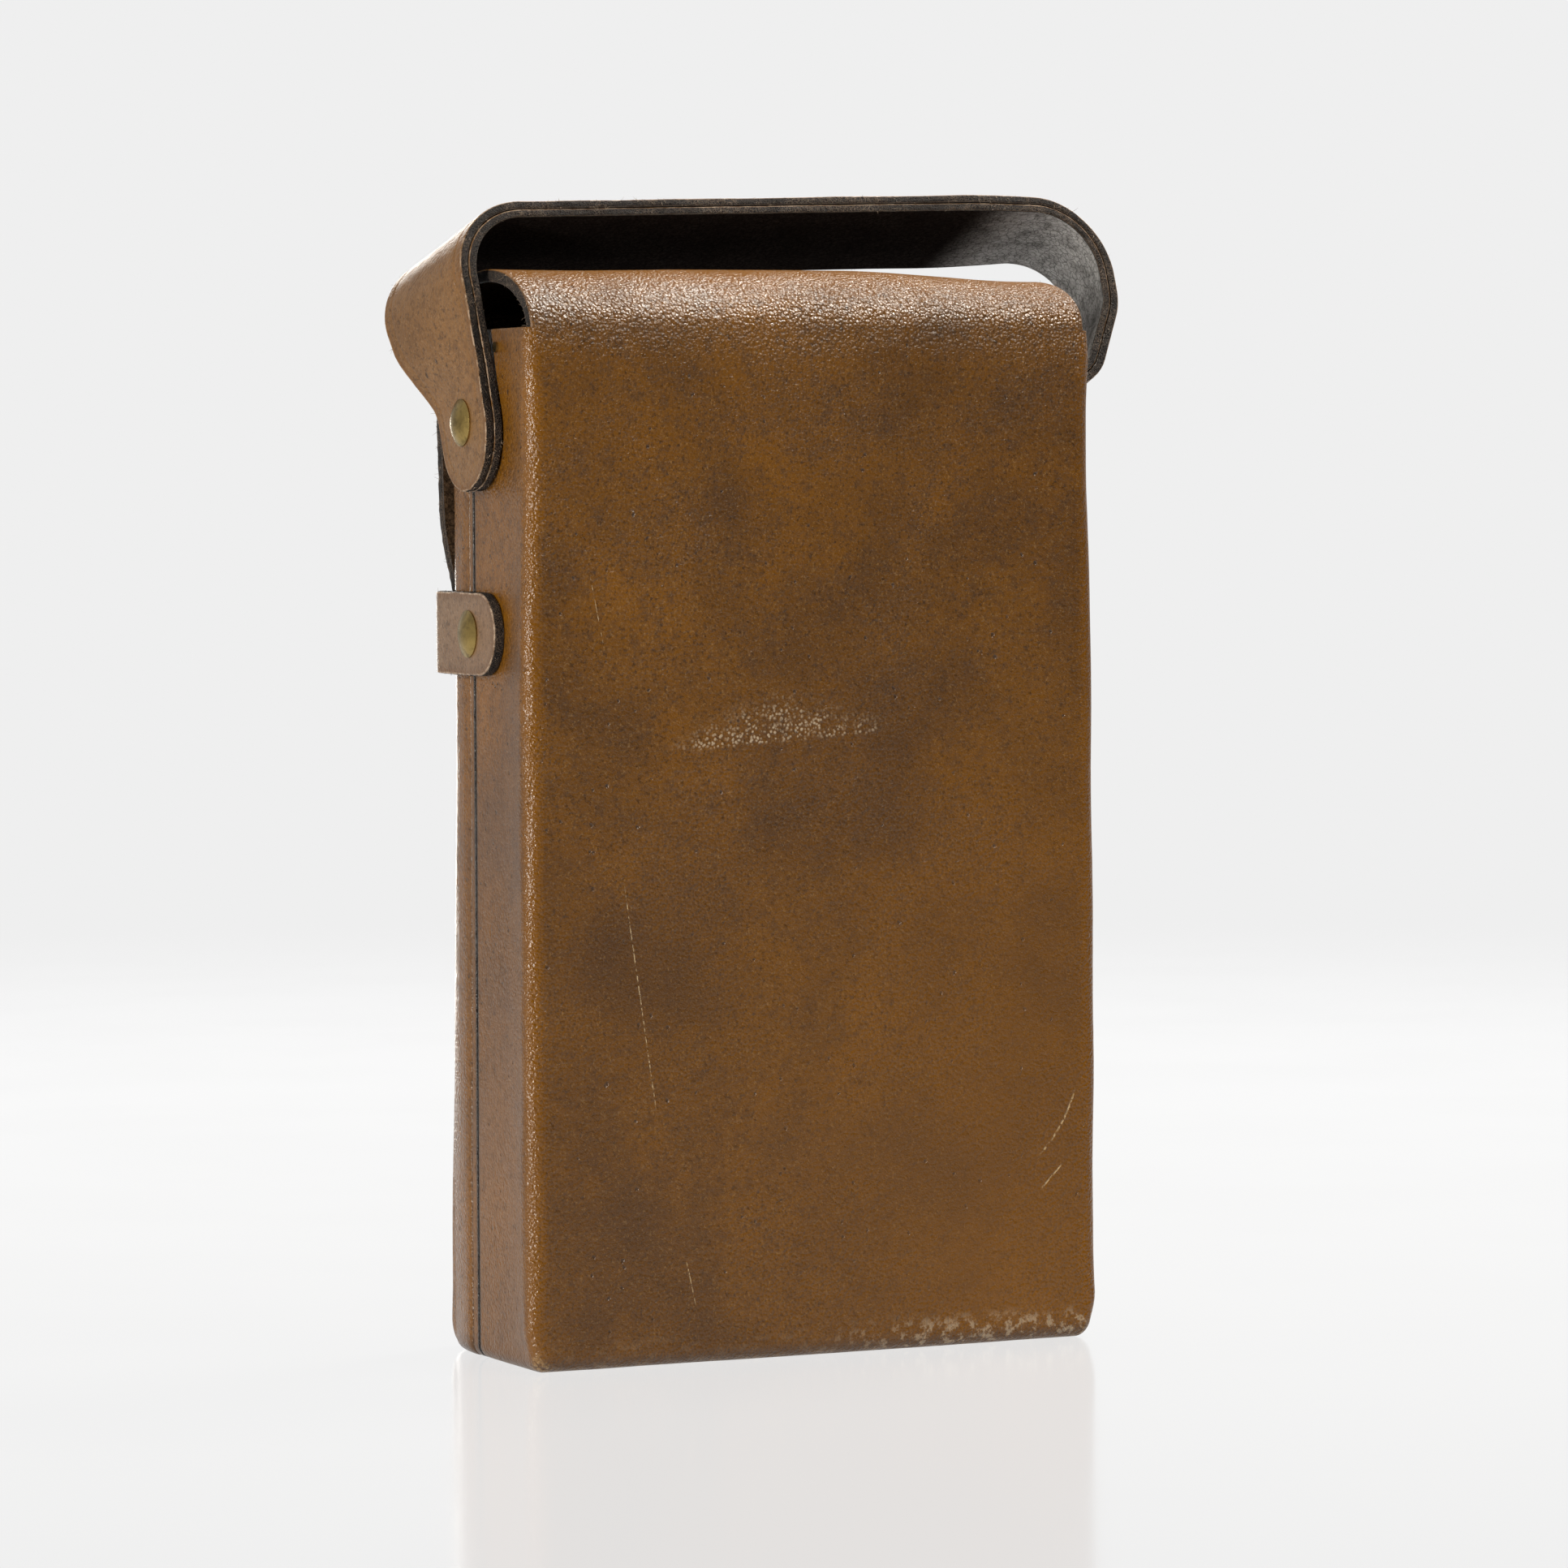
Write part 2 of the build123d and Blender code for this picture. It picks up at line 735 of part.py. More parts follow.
with BuildPart() as moving_coil:
    with BuildSketch(coil_plane(11.4)):
        Rectangle(2 * coil_half_width, 1.6)
    extrude(amount=10.8)
    with BuildSketch(coil_plane(10.6)):
        Rectangle(2 * coil_half_width - 1.6, 2)
    extrude(amount=9.2, mode=Mode.SUBTRACT)
finish_part(moving_coil, "moving_coil")

with BuildPart() as coil_staffs:
    for start_y, length in ((0.6, 6.8), (12.5, 1.1)):
        with BuildSketch(movement_plane(start_y)):
            Circle(staff_radius)
        extrude(amount=length)
finish_part(coil_staffs, "coil_staffs")

with BuildPart() as pointer:
    with BuildSketch(coil_plane(pointer_y + 0.5)):
        Circle(1.6)
    extrude(amount=0.8)
    with BuildSketch(coil_plane(pointer_y + 0.3)):
        with BuildLine():
            Polyline((-0.6, 0), (-0.2, pointer_length), (0.2, pointer_length), (0.6, 0), close=True)
        make_face()
        with Locations((0, -3.5)):
            Rectangle(1.0, 7)
        with Locations((0, -6.5)):
            Circle(1.6)
    extrude(amount=0.4)
    with BuildSketch(coil_plane(pointer_y + 0.5)):
        Circle(staff_radius)
    extrude(amount=0.8, mode=Mode.SUBTRACT)
finish_part(pointer, "pointer")

spring_start_radius = 1.3
spring_pitch = 0.9
half_turns = 10
with BuildPart() as hairsprings:
    for spring_y in (-0.2, -1.6):
        with BuildSketch(movement_plane(spring_y)):
            with BuildLine():
                for turn in range(half_turns):
                    radius = spring_start_radius + turn * spring_pitch / 2
                    centre_x = spring_pitch / 2 if turn % 2 else 0
                    CenterArc((centre_x, 0), radius, 180 * (turn % 2), 180)
            trace(line_width=0.25)
        extrude(amount=0.4)
finish_part(hairsprings, "hairsprings")

with BuildPart() as scale_plate:
    with BuildSketch(front_plane(plate_y + 0.6)):
        with Locations((0, 87)):
            RectangleRounded(76, 50, 3)
        with Locations((0, movement_z)):
            Circle(5, mode=Mode.SUBTRACT)
        with Locations((10.5, movement_z), (-10.5, movement_z)):
            Circle(1.5, mode=Mode.SUBTRACT)
    extrude(amount=0.6)
finish_part(scale_plate, "scale_plate")

with BuildPart() as meter_window:
    with BuildSketch(front_plane(-8.05)):
        with Locations((0, 94)):
            RectangleRounded(74, 28, 3)
    extrude(amount=1.4)
finish_part(meter_window, "meter_window")

with BuildPart() as zero_adjuster:
    with BuildSketch(movement_plane(-9.0)):
        Circle(rivet_shank_radius)
    extrude(amount=3.1)
    with BuildSketch(movement_plane(cover_y - touch_gap)):
        Circle(3.2)
    extrude(amount=1.2)
    with BuildSketch(movement_plane(cover_y - touch_gap - 0.6)):
        Rectangle(8, 0.8)
    extrude(amount=1, mode=Mode.SUBTRACT)
finish_part(zero_adjuster, "zero_adjuster")

# ------------------------------------------------------------------ exposure calculator


def dial_plane(y):
    """A plane facing the front, centred on the calculator's screw."""
    return Plane((dial_x, y, dial_z), x_dir=(1, 0, 0), z_dir=(0, -1, 0))


base_front_y = cover_y - 0.6
with BuildPart() as calculator_base:
    with BuildSketch(dial_plane(cover_y - touch_gap)):
        Circle(dial_radius + 1)
        Circle(rivet_hole_radius, mode=Mode.SUBTRACT)
    extrude(amount=cover_y - touch_gap - base_front_y)
finish_part(calculator_base, "calculator_base")

dial_rear_y = base_front_y - 0.1
with BuildPart() as exposure_dial:
    with BuildSketch(dial_plane(dial_rear_y)):
        Circle(dial_radius)
        Circle(dial_inner_radius + 0.1, mode=Mode.SUBTRACT)
        with PolarLocations(dial_radius + 0.2, 36):
            Circle(0.7, mode=Mode.SUBTRACT)
    extrude(amount=dial_rear_y - dial_front_y)
finish_part(exposure_dial, "exposure_dial")

with BuildPart() as film_speed_dial:
    with BuildSketch(dial_plane(dial_rear_y)):
        Circle(dial_inner_radius)
    extrude(amount=dial_rear_y - dial_front_y)
    with BuildSketch(dial_plane(dial_front_y)):
        SlotOverall(28, 4)
    extrude(amount=1.2)
    with BuildSketch(dial_plane(dial_front_y)):
        Circle(3.3)
    extrude(amount=1.2, mode=Mode.SUBTRACT)
    with BuildSketch(dial_plane(dial_rear_y)):
        Circle(rivet_hole_radius)
    extrude(amount=3, mode=Mode.SUBTRACT)
finish_part(film_speed_dial, "film_speed_dial")

dial_screw = screw_row(
    dial_plane(dial_front_y - touch_gap), ((0, 0),), 3.0, 1.3, rivet_shank_radius, 8.3
)
finish_part(dial_screw, "dial_screw")

# ------------------------------------------------------------------ range knob and read button


def knob_plane(y):
    """A plane facing the front, centred on the range knob."""
    return Plane((knob_x, y, knob_z), x_dir=(1, 0, 0), z_dir=(0, -1, 0))


with BuildPart() as range_knob:
    with BuildSketch(knob_plane(-3.0)):
        Circle(knob_shaft_radius)
    extrude(amount=-3.0 - cover_y + 0.2)
    with BuildSketch(knob_plane(cover_y - 0.1)):
        Circle(8.5)
    extrude(amount=1.3)
    with BuildSketch(knob_plane(cover_y - 1.4)):
        SlotOverall(16, 4.5)
    extrude(amount=2.4)
finish_part(range_knob, "range_knob")

with BuildPart() as range_switch:
    with BuildSketch(knob_plane(-7.4)):
        Circle(9)
        with PolarLocations(9.5, 6):
            Rectangle(4, 1.6)
        Circle(knob_shaft_radius + touch_gap, mode=Mode.SUBTRACT)
    extrude(amount=1.8)
finish_part(range_switch, "range_switch")

button_inner_x = housing_width / 2 - housing_wall
with BuildPart() as read_button:
    with BuildSketch(Plane.YZ.offset(41)):
        with Locations((button_y, button_z)):
            Circle(1.0)
    extrude(amount=10)
    with BuildSketch(Plane.YZ.offset(50.1)):
        with Locations((button_y, button_z)):
            Circle(3.6)
    extrude(amount=button_inner_x - 50.1 - touch_gap)
    with BuildSketch(Plane.YZ.offset(51)):
        with Locations((button_y, button_z)):
            Circle(button_radius)
    extrude(amount=4.1)
finish_part(read_button, "read_button")

spring_wire = 0.3
spring_coil_radius = 1.8
spring_first_x, spring_last_x = button_rib_x + 1.9, 49.7
with BuildPart() as button_spring:
    with BuildLine() as coil_line:
        Helix(
            pitch=1.3,
            height=spring_last_x - spring_first_x,
            radius=spring_coil_radius,
            center=(spring_first_x, button_y, button_z),
            direction=(1, 0, 0),
        )
    with BuildSketch(Plane(coil_line.line @ 0, z_dir=coil_line.line % 0)):
        Circle(spring_wire)
    sweep(path=coil_line.line, is_frenet=True)
finish_part(button_spring, "button_spring")

# ------------------------------------------------------------------ range resistors

with BuildPart() as resistor_board:
    with BuildSketch(front_plane(9.2)):
        with Locations((board_x, board_z)):
            Rectangle(46, 30)
        with Locations(*board_posts):
            Circle(1.05, mode=Mode.SUBTRACT)
    extrude(amount=1.2)
finish_part(resistor_board, "resistor_board")

board_screws = screw_row(front_plane(8.0), board_posts, 1.8, 1.0, 1.0, 4.0)
finish_part(board_screws, "board_screws")

with BuildPart() as resistors:
    with BuildSketch(Plane.YZ.offset(board_x - 6)):
        with Locations(*[(6.5, board_z + row * 8) for row in (-1, 0, 1)]):
            Circle(1.5)
    extrude(amount=12)
finish_part(resistors, "resistors")
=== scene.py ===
"""Looks of the light meter's leather case: leather, brass, lining and the meter's own finishes.

Lengths in the mesh code are millimetres and are turned into metres when a mesh is made.
"""
import json
import math

import bpy
import numpy as np
from mathutils import Matrix, Vector, kdtree


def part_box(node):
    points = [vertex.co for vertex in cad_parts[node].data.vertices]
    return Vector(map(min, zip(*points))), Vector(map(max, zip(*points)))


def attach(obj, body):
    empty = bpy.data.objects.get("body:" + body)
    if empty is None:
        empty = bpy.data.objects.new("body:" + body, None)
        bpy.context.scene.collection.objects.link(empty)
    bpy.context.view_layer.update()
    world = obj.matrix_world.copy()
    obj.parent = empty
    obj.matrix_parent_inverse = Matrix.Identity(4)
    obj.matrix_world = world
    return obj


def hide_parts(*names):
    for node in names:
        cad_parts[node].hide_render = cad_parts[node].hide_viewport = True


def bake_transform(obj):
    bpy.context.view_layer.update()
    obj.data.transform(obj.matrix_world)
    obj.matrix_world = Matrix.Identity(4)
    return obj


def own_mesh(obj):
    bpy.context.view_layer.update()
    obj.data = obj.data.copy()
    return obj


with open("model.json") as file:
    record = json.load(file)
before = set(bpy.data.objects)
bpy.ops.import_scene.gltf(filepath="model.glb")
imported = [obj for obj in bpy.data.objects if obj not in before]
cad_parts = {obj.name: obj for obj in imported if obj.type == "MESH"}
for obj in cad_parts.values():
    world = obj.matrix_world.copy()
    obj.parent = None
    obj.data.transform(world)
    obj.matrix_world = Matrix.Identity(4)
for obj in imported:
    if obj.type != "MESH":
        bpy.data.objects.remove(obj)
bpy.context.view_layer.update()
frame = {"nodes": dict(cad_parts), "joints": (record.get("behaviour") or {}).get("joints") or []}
scene = bpy.context.scene
MM = 0.001


def cad_box(node):
    """A CAD node's corners in millimetres."""
    low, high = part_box(node)
    return np.array(low) / MM, np.array(high) / MM


# ------------------------------------------------------------------ measures from the frame

shell_low, shell_high = cad_box("back_shell")
tray_low, tray_high = cad_box("front_tray")
flap_low, flap_high = cad_box("lid_flap")
keeper_low, keeper_high = cad_box("keeper_strap")
lining_high = cad_box("case_lining")[1]
spring_low, spring_high = cad_box("button_spring")
joints = {j["name"]: j for j in frame["joints"]}

HALF = shell_high[0]
BACK = shell_high[1]
WALL_TOP = shell_high[2]
SEAM_BACK, SEAM_FRONT = shell_low[1], tray_high[1]
LEATHER = 2.4
FOOT_Y, SHOULDER_Y = tray_low[1], -21.6
WAIST_Y, WAIST_Z = -20.2, 112.0
TOE_RADIUS, HEEL_RADIUS = 6.0, 3.2
LID_HALF, LID_TIP_HALF = flap_high[0], 55.4
LID_TOP, LID_TIP_Z = flap_high[2], flap_low[2]
LID_FRONT = flap_low[1]
CREASE_Z = WALL_TOP + 0.3
PIVOT = np.array(joints["handle_swing"]["pos_m"]) / MM
LEAN = math.radians(21.0)
EDGE_SWELL, MOUTH_SWELL = 1.9, 0.8
KEEPER_Z = (keeper_low[2] + keeper_high[2]) / 2
KEEPER_HALF = (keeper_high[2] - keeper_low[2]) / 2 - 0.05

# ------------------------------------------------------------------ noise and small maths


def lattice(ix, iy, iz, seed):
    """A repeatable value between -1 and 1 for each whole-number point."""
    h = ix * 374761393 + iy * 668265263 + iz * 2147483647 + seed * 974711
    h = (h ^ (h >> 13)) * 1274126177
    h = (h ^ (h >> 16)) & 0xFFFFFF
    return h / float(0x7FFFFF) - 1.0


def field(points, size, seed=1, octaves=2):
    """Smooth noise over points, with features about this size, between -1 and 1."""
    total, weight = np.zeros(len(points)), 0.0
    for octave in range(octaves):
        q = points / (size * 0.5 ** octave) + 17.3 * (octave + 1)
        base = np.floor(q).astype(np.int64)
        f = q - base
        f = f * f * (3 - 2 * f)
        value = np.zeros(len(points))
        for dx in (0, 1):
            for dy in (0, 1):
                for dz in (0, 1):
                    w = (
                        (f[:, 0] if dx else 1 - f[:, 0])
                        * (f[:, 1] if dy else 1 - f[:, 1])
                        * (f[:, 2] if dz else 1 - f[:, 2])
                    )
                    corner = lattice(base[:, 0] + dx, base[:, 1] + dy, base[:, 2] + dz, seed + octave)
                    value += w * corner
        total += value * 0.5 ** octave
        weight += 0.5 ** octave
    return total / weight


def smooth(x, low, high):
    """Smoothstep from 0 at low to 1 at high."""
    t = np.clip((np.asarray(x, float) - low) / (high - low), 0, 1)
    return t * t * (3 - 2 * t)


def unit(v):
    """Vectors scaled to length one."""
    return v / np.maximum(np.linalg.norm(v, axis=-1, keepdims=True), 1e-12)


def steps(length, pitch, near=(0.12, 0.35, 0.7)):
    """Sample distances from 0 to length, closer together at the ends."""
    inner = np.linspace(0, length, max(3, int(round(length / pitch)) + 1))
    edge = near[-1] + 0.35
    keep = [d for d in inner if edge < d < length - edge]
    return np.array(sorted([0.0, length] + keep + list(near) + [length - n for n in near]))


def run_length(line):
    """The distance along a line to each of its points."""
    return np.concatenate([[0], np.cumsum(np.linalg.norm(np.diff(line, axis=0), axis=1))])


def round_corner(p, q, radius):
    """The map that turns a square corner into a round one, for distances p and q into it."""
    inside = (p > 0) & (q > 0)
    longest = np.maximum(p, q)
    scale = np.where(inside, longest / np.maximum(np.hypot(p, q), 1e-9), 1.0)
    return p * scale, q * scale


# ------------------------------------------------------------------ mesh making


def new_object(name, points_mm, faces, attributes=None):
    """A smooth-shaded mesh object from points in millimetres."""
    mesh = bpy.data.meshes.new(name)
    mesh.from_pydata((np.asarray(points_mm) * MM).tolist(), [], [list(map(int, f)) for f in faces])
    mesh.update()
    for key, values in (attributes or {}).items():
        values = np.asarray(values, np.float32)
        if values.ndim == 2:
            layer = mesh.attributes.new(key, "FLOAT_VECTOR", "POINT")
            layer.data.foreach_set("vector", values.ravel())
        else:
            layer = mesh.attributes.new(key, "FLOAT", "POINT")
            layer.data.foreach_set("value", values)
    mesh.polygons.foreach_set("use_smooth", np.ones(len(mesh.polygons), bool))
    obj = bpy.data.objects.new(name, mesh)
    scene.collection.objects.link(obj)
    return obj


def weld(points, faces, tolerance=1e-4):
    """Joins points that lie at the same place."""
    keys = np.round(points / tolerance + 0.137).astype(np.int64)
    _, first, back = np.unique(keys, axis=0, return_index=True, return_inverse=True)
    back = back.ravel()
    return points[first], back[faces], first


def grid(nu, nv, flip=False):
    """The quads of a grid of nu by nv points."""
    i, j = np.meshgrid(np.arange(nu - 1), np.arange(nv - 1), indexing="ij")
    a = (i * nv + j).ravel()
    quads = np.stack([a, a + nv, a + nv + 1, a + 1], 1)
    return quads[:, ::-1] if flip else quads


def vertex_normals(points, faces):
    """Averaged face normals at each point."""
    n = np.cross(points[faces[:, 2]] - points[faces[:, 0]], points[faces[:, 3]] - points[faces[:, 1]])
    total = np.zeros_like(points)
    for k in range(4):
        np.add.at(total, faces[:, k], n)
    return unit(total)


def split_edges(mesh, pairs):
    """Keeps the shading of these edges' two sides apart, so that it runs on into the next piece."""
    total = len(mesh.vertices)
    ends = np.zeros(2 * len(mesh.edges), np.int32)
    mesh.edges.foreach_get("vertices", ends)
    ends = ends.reshape(-1, 2).astype(np.int64)
    keys = ends.min(1) * total + ends.max(1)
    wanted = pairs.min(1) * total + pairs.max(1)
    mesh.edges.foreach_set("use_edge_sharp", np.isin(keys, wanted))


def shell(name, outer, inner, faces, cut=None, bulge=0.3, rings=5, fray=0.05, extra=None, seed=3):
    """A closed sheet of leather between two surfaces that share their quads.

    cut is 1 where the rim is a cut edge and 0 where the leather carries on in another piece.
    The mesh carries its rest place, its layer (0 grain side, 1 flesh side) and the distance to
    the nearest cut edge, for the materials.
    """
    n = len(outer)
    cut = np.ones(n) if cut is None else cut
    edges = np.concatenate([faces[:, [k, (k + 1) % 4]] for k in range(4)])
    key = np.minimum(edges[:, 0], edges[:, 1]) * n + np.maximum(edges[:, 0], edges[:, 1])
    _, index, counts = np.unique(key, return_index=True, return_counts=True)
    border = edges[index[counts == 1]]
    normals = vertex_normals(outer, faces)
    outward = np.zeros_like(outer)
    along = outer[border[:, 1]] - outer[border[:, 0]]
    push = unit(np.cross(along, normals[border[:, 0]] + normals[border[:, 1]]))
    np.add.at(outward, border[:, 0], push)
    np.add.at(outward, border[:, 1], push)
    rim = np.unique(border)
    slot_of = np.full(n, -1)
    slot_of[rim] = np.arange(len(rim))
    direction = unit(outward[rim])
    layers = [outer, inner]
    layer_value = [np.zeros(n), np.ones(n)]
    for k in range(1, rings):
        t = (1 - math.cos(math.pi * k / rings)) / 2
        ring = outer[rim] * (1 - t) + inner[rim] * t
        swell = bulge * math.sin(math.pi * k / rings) ** 0.8
        rough = fray * field(ring + 31.0 * k, 0.9, seed + k, 2)
        ring = ring + direction * ((swell + rough) * cut[rim])[:, None]
        layers.append(ring)
        layer_value.append(np.full(len(rim), t))
    points = np.concatenate(layers)
    ring_start = [2 * n + k * len(rim) for k in range(rings - 1)]
    rows = [border] + [slot_of[border] + start for start in ring_start] + [border + n]
    quads = [faces, faces[:, ::-1] + n]
    for a, b in zip(rows[:-1], rows[1:]):
        quads.append(np.stack([a[:, 1], a[:, 0], b[:, 0], b[:, 1]], 1))
    layer = np.concatenate(layer_value)
    tree_points = rim[cut[rim] > 0.5]
    tree = kdtree.KDTree(2 * len(tree_points))
    for i, p in enumerate(np.concatenate([outer[tree_points], inner[tree_points]])):
        tree.insert(Vector(p), i)
    tree.balance()
    far = np.array([tree.find(Vector(p))[2] or 0.0 for p in points[: 2 * n]])
    ring_far = np.tile(np.where(cut[rim] > 0.5, 0.0, 5.0), rings - 1)
    attributes = {
        "rest": points * MM,
        "layer": layer,
        "edge": np.concatenate([far, ring_far]),
    }
    for key_name, values in (extra or {}).items():
        tiled = np.concatenate([values, values, np.tile(values[rim], rings - 1)])
        attributes[key_name] = tiled
    obj = new_object(name, points, np.concatenate(quads), attributes)
    side_index = np.zeros(len(obj.data.polygons), np.int32)
    side_index[len(faces):2 * len(faces)] = 1
    obj.data.polygons.foreach_set("material_index", side_index)
    joined = border[(cut[border] < 0.5).all(1)]
    if len(joined):
        split_edges(obj.data, joined)
    return obj


# ------------------------------------------------------------------ the case's form


def front_y(z):
    """How far forward the case's front face stands at height z."""
    z = np.asarray(z, float)
    z0, z1, z2 = TOE_RADIUS, WAIST_Z, WALL_TOP
    slope_waist, slope_top = 0.0257, -0.03

    def hermite(t, h, a, b, ma, mb):
        return (
            (2 * t**3 - 3 * t**2 + 1) * a
            + (t**3 - 2 * t**2 + t) * h * ma
            + (-2 * t**3 + 3 * t**2) * b
            + (t**3 - t**2) * h * mb
        )

    up_low, up_top = np.clip((z - z0) / (z1 - z0), 0, 1), np.clip((z - z1) / (z2 - z1), 0, 1)
    low = hermite(up_low, z1 - z0, FOOT_Y, WAIST_Y, 0, slope_waist)
    top = hermite(up_top, z2 - z1, WAIST_Y, SHOULDER_Y, slope_waist, slope_top)
    return np.where(z < z1, low, top)


def half_case(inset, is_back, seam_y, x_steps, z_steps, y_share):
    """One half of the case as a sharp-edged open box, not yet welded: a strip down the broad face
    and under the floor, and a wall each side of it. inset is how deep inside the leather."""
    wide = HALF - inset
    zs = inset + (WALL_TOP - inset) * z_steps / z_steps[-1]
    xs = (x_steps / x_steps[-1] * 2 - 1) * wide
    face_y = (lambda z: np.full_like(z, BACK - inset)) if is_back else (lambda z: front_y(z) + inset)

    def depth(z, share):
        return seam_y + (face_y(z) - seam_y) * share

    parts, quads, start = [], [], 0
    floor_z = np.full(len(y_share) - 1, inset)
    strip_y = np.concatenate([face_y(zs[::-1]), depth(floor_z, y_share[::-1][1:])])
    strip_z = np.concatenate([zs[::-1], floor_z])
    x, y = np.meshgrid(xs, strip_y, indexing="ij")
    z = np.broadcast_to(strip_z, y.shape)
    parts.append(np.stack([x, y, z], -1).reshape(-1, 3))
    quads.append(grid(len(xs), len(strip_y), flip=not is_back))
    start += parts[-1].shape[0]
    for side in (-1, 1):
        share, zz = np.meshgrid(y_share, zs, indexing="ij")
        yy = depth(zz, share)
        parts.append(np.stack([np.full_like(yy, side * wide), yy, zz], -1).reshape(-1, 3))
        quads.append(grid(len(y_share), len(zs), flip=(side < 0) == is_back) + start)
        start += parts[-1].shape[0]
    return np.concatenate(parts), np.concatenate(quads), face_y


def round_case(points, inset, is_back, side_radius, edge_radius, face_y):
    """Rounds the heel or toe and the side edges of a half case."""
    sign = 1.0 if is_back else -1.0
    x, y, z = points.T.copy()
    edge = edge_radius - inset
    a = sign * (face_y(np.maximum(z, 0)) - y)
    b = z - inset
    p, q = round_corner(edge - a, edge - b, edge)
    both = (edge - a > 0) & (edge - b > 0)
    a2, b2 = np.where(both, edge - p, a), np.where(both, edge - q, b)
    y, z = y + sign * (a - a2), b2 + inset
    a, b = a2, b2
    corner = (a < edge) & (b < edge)
    reach = np.hypot(edge - a, edge - b)
    depth = np.where(corner, edge - reach, np.minimum(a, b))
    ny = np.where(corner, (edge - a) / np.maximum(reach, 1e-9), np.where(a <= b, 1.0, 0.0))
    nz = np.where(corner, (edge - b) / np.maximum(reach, 1e-9), np.where(a <= b, 0.0, 1.0))
    wide = HALF - inset
    radius = side_radius(y, z)
    p = np.abs(x) - (wide - radius)
    q = radius - depth
    p2, q2 = round_corner(p, q, radius)
    both = (p > 0) & (q > 0)
    x = np.where(both, np.sign(x) * (wide - radius + p2), x)
    moved = np.where(both, q2 - q, 0.0)
    y = y + sign * ny * moved
    z = z - nz * moved
    return np.stack([x, y, z], 1)


def case_surfaces(is_back, seam_y, y_share, radius_of, edge_radius):
    """The outer and inner surface of one half of the case, sharing their welded quads."""
    surfaces, order = [], None
    for inset, radius in ((0.0, radius_of), (LEATHER, inner_radius)):
        sharp, quads, face_y = half_case(inset, is_back, seam_y, across, up, y_share)
        if order is None:
            _, faces, order = weld(sharp, quads)
        rounded = round_case(sharp[order], inset, is_back, radius, edge_radius, face_y)
        surfaces.append(round_mouth(rounded, seam_y, is_back))
    return surfaces[0], surfaces[1], faces


def swell(points, is_back):
    """How far each side wall stands out near its upright edge, less where the handle swings by."""
    x, y, z = points.T
    if is_back:
        most = EDGE_SWELL * (1.0 - (1.0 - MOUTH_SWELL / EDGE_SWELL) * smooth(z, 130.0, 170.0))
        out = np.clip((y - 5.0) / (BACK - 5.0), 0, 1) ** 1.8 * smooth(z, 0.0, 9.0) * most
    else:
        out = 0.25 * smooth(-y, 10.6, 12.0) - 0.8 * np.clip((-y - 11.5) / 8.0, 0, 1.2) ** 2
    return np.sign(x) * out * smooth(np.abs(x), HALF - 14.0, HALF - 2.0)


def round_mouth(points, seam_y, is_back, radius=3.0):
    """Rounds the corner of each side wall where the seam meets the mouth."""
    x, y, z = points.T.copy()
    sign = 1.0 if is_back else -1.0
    q = radius - sign * (y - seam_y)
    p = z - (WALL_TOP - radius)
    p2, q2 = round_corner(p, q, radius)
    side = np.abs(x) > HALF - 4.0
    z = np.where(side & (p > 0) & (q > 0), WALL_TOP - radius + p2, z)
    y = np.where(side & (p > 0) & (q > 0), y - sign * (q2 - q), y)
    return np.stack([x, y, z], 1)


def hand_made(points):
    """How far blocked leather stands off its true form, along its normal."""
    slow = 0.22 * field(points, 46.0, 11, 1) + 0.10 * field(points, 17.0, 12, 2)
    return slow + 0.025 * field(points, 4.5, 13, 2)


def fold_shape(points):
    """How far the back leans in where it turns over into the lid, and the fine wrinkles there."""
    z = points[:, 2]
    back_side = smooth(points[:, 1], 6.0, 14.0)
    cross = points * np.array([0.16, 1.0, 1.0])
    wrinkle = 0.016 * field(cross, 1.9, 44, 2) + 0.018 * field(cross, 4.2, 45, 1)
    near = np.exp(-(((z - 198.5) / 7.5) ** 2)) * back_side
    lean = np.exp(-(((z - WALL_TOP - 2.5) / 5.5) ** 2)) * back_side
    return near * wrinkle, lean, near


near_edge = np.array([0, 0.55, 1.1, 1.7, 2.3, 2.9, 3.6, 4.4, 5.2, 6.1, 7.0, 8.0, 9.0])
across = np.concatenate([near_edge, np.linspace(10.1, 2 * HALF - 10.1, 84), 2 * HALF - near_edge[::-1]])
up = np.concatenate([
    [0, 0.6, 1.2, 1.8, 2.4, 3.0, 3.6, 4.2, 4.8, 5.6, 6.4], np.linspace(7.5, WALL_TOP - 1.6, 158),
    WALL_TOP - np.array([1.0, 0.5, 0.15, 0])])


def shares(first, last, span):
    """Shares of the way from the seam to the broad face."""
    return np.concatenate([first, np.linspace(first[-1] + 1.0, span - last[-1] - 0.8, int(span - 12)),
                           span - np.array(last[::-1])]) / span


back_share = shares([0, 0.12, 0.35, 0.8, 1.5], [0, 0.5, 1.0, 1.6, 2.2, 2.8, 3.5, 4.3], BACK - SEAM_BACK)


def back_radius(y, z):
    """The upright back edges are a little rounder half way down, and not quite even."""
    uneven = 0.35 * np.sin(z / 13.0) + 0.25 * np.sin(z / 5.3 + 1.0)
    half_way = smooth(WALL_TOP - z, 2.0, 16.0) * smooth(z, 5.0, 20.0)
    return 2.6 + (1.0 + 0.6 * uneven) * smooth(y, 8.0, 15.0) * half_way


def inner_radius(y, z):
    """The leather's inner corners are all alike."""
    return 1.5 + 0.0 * y


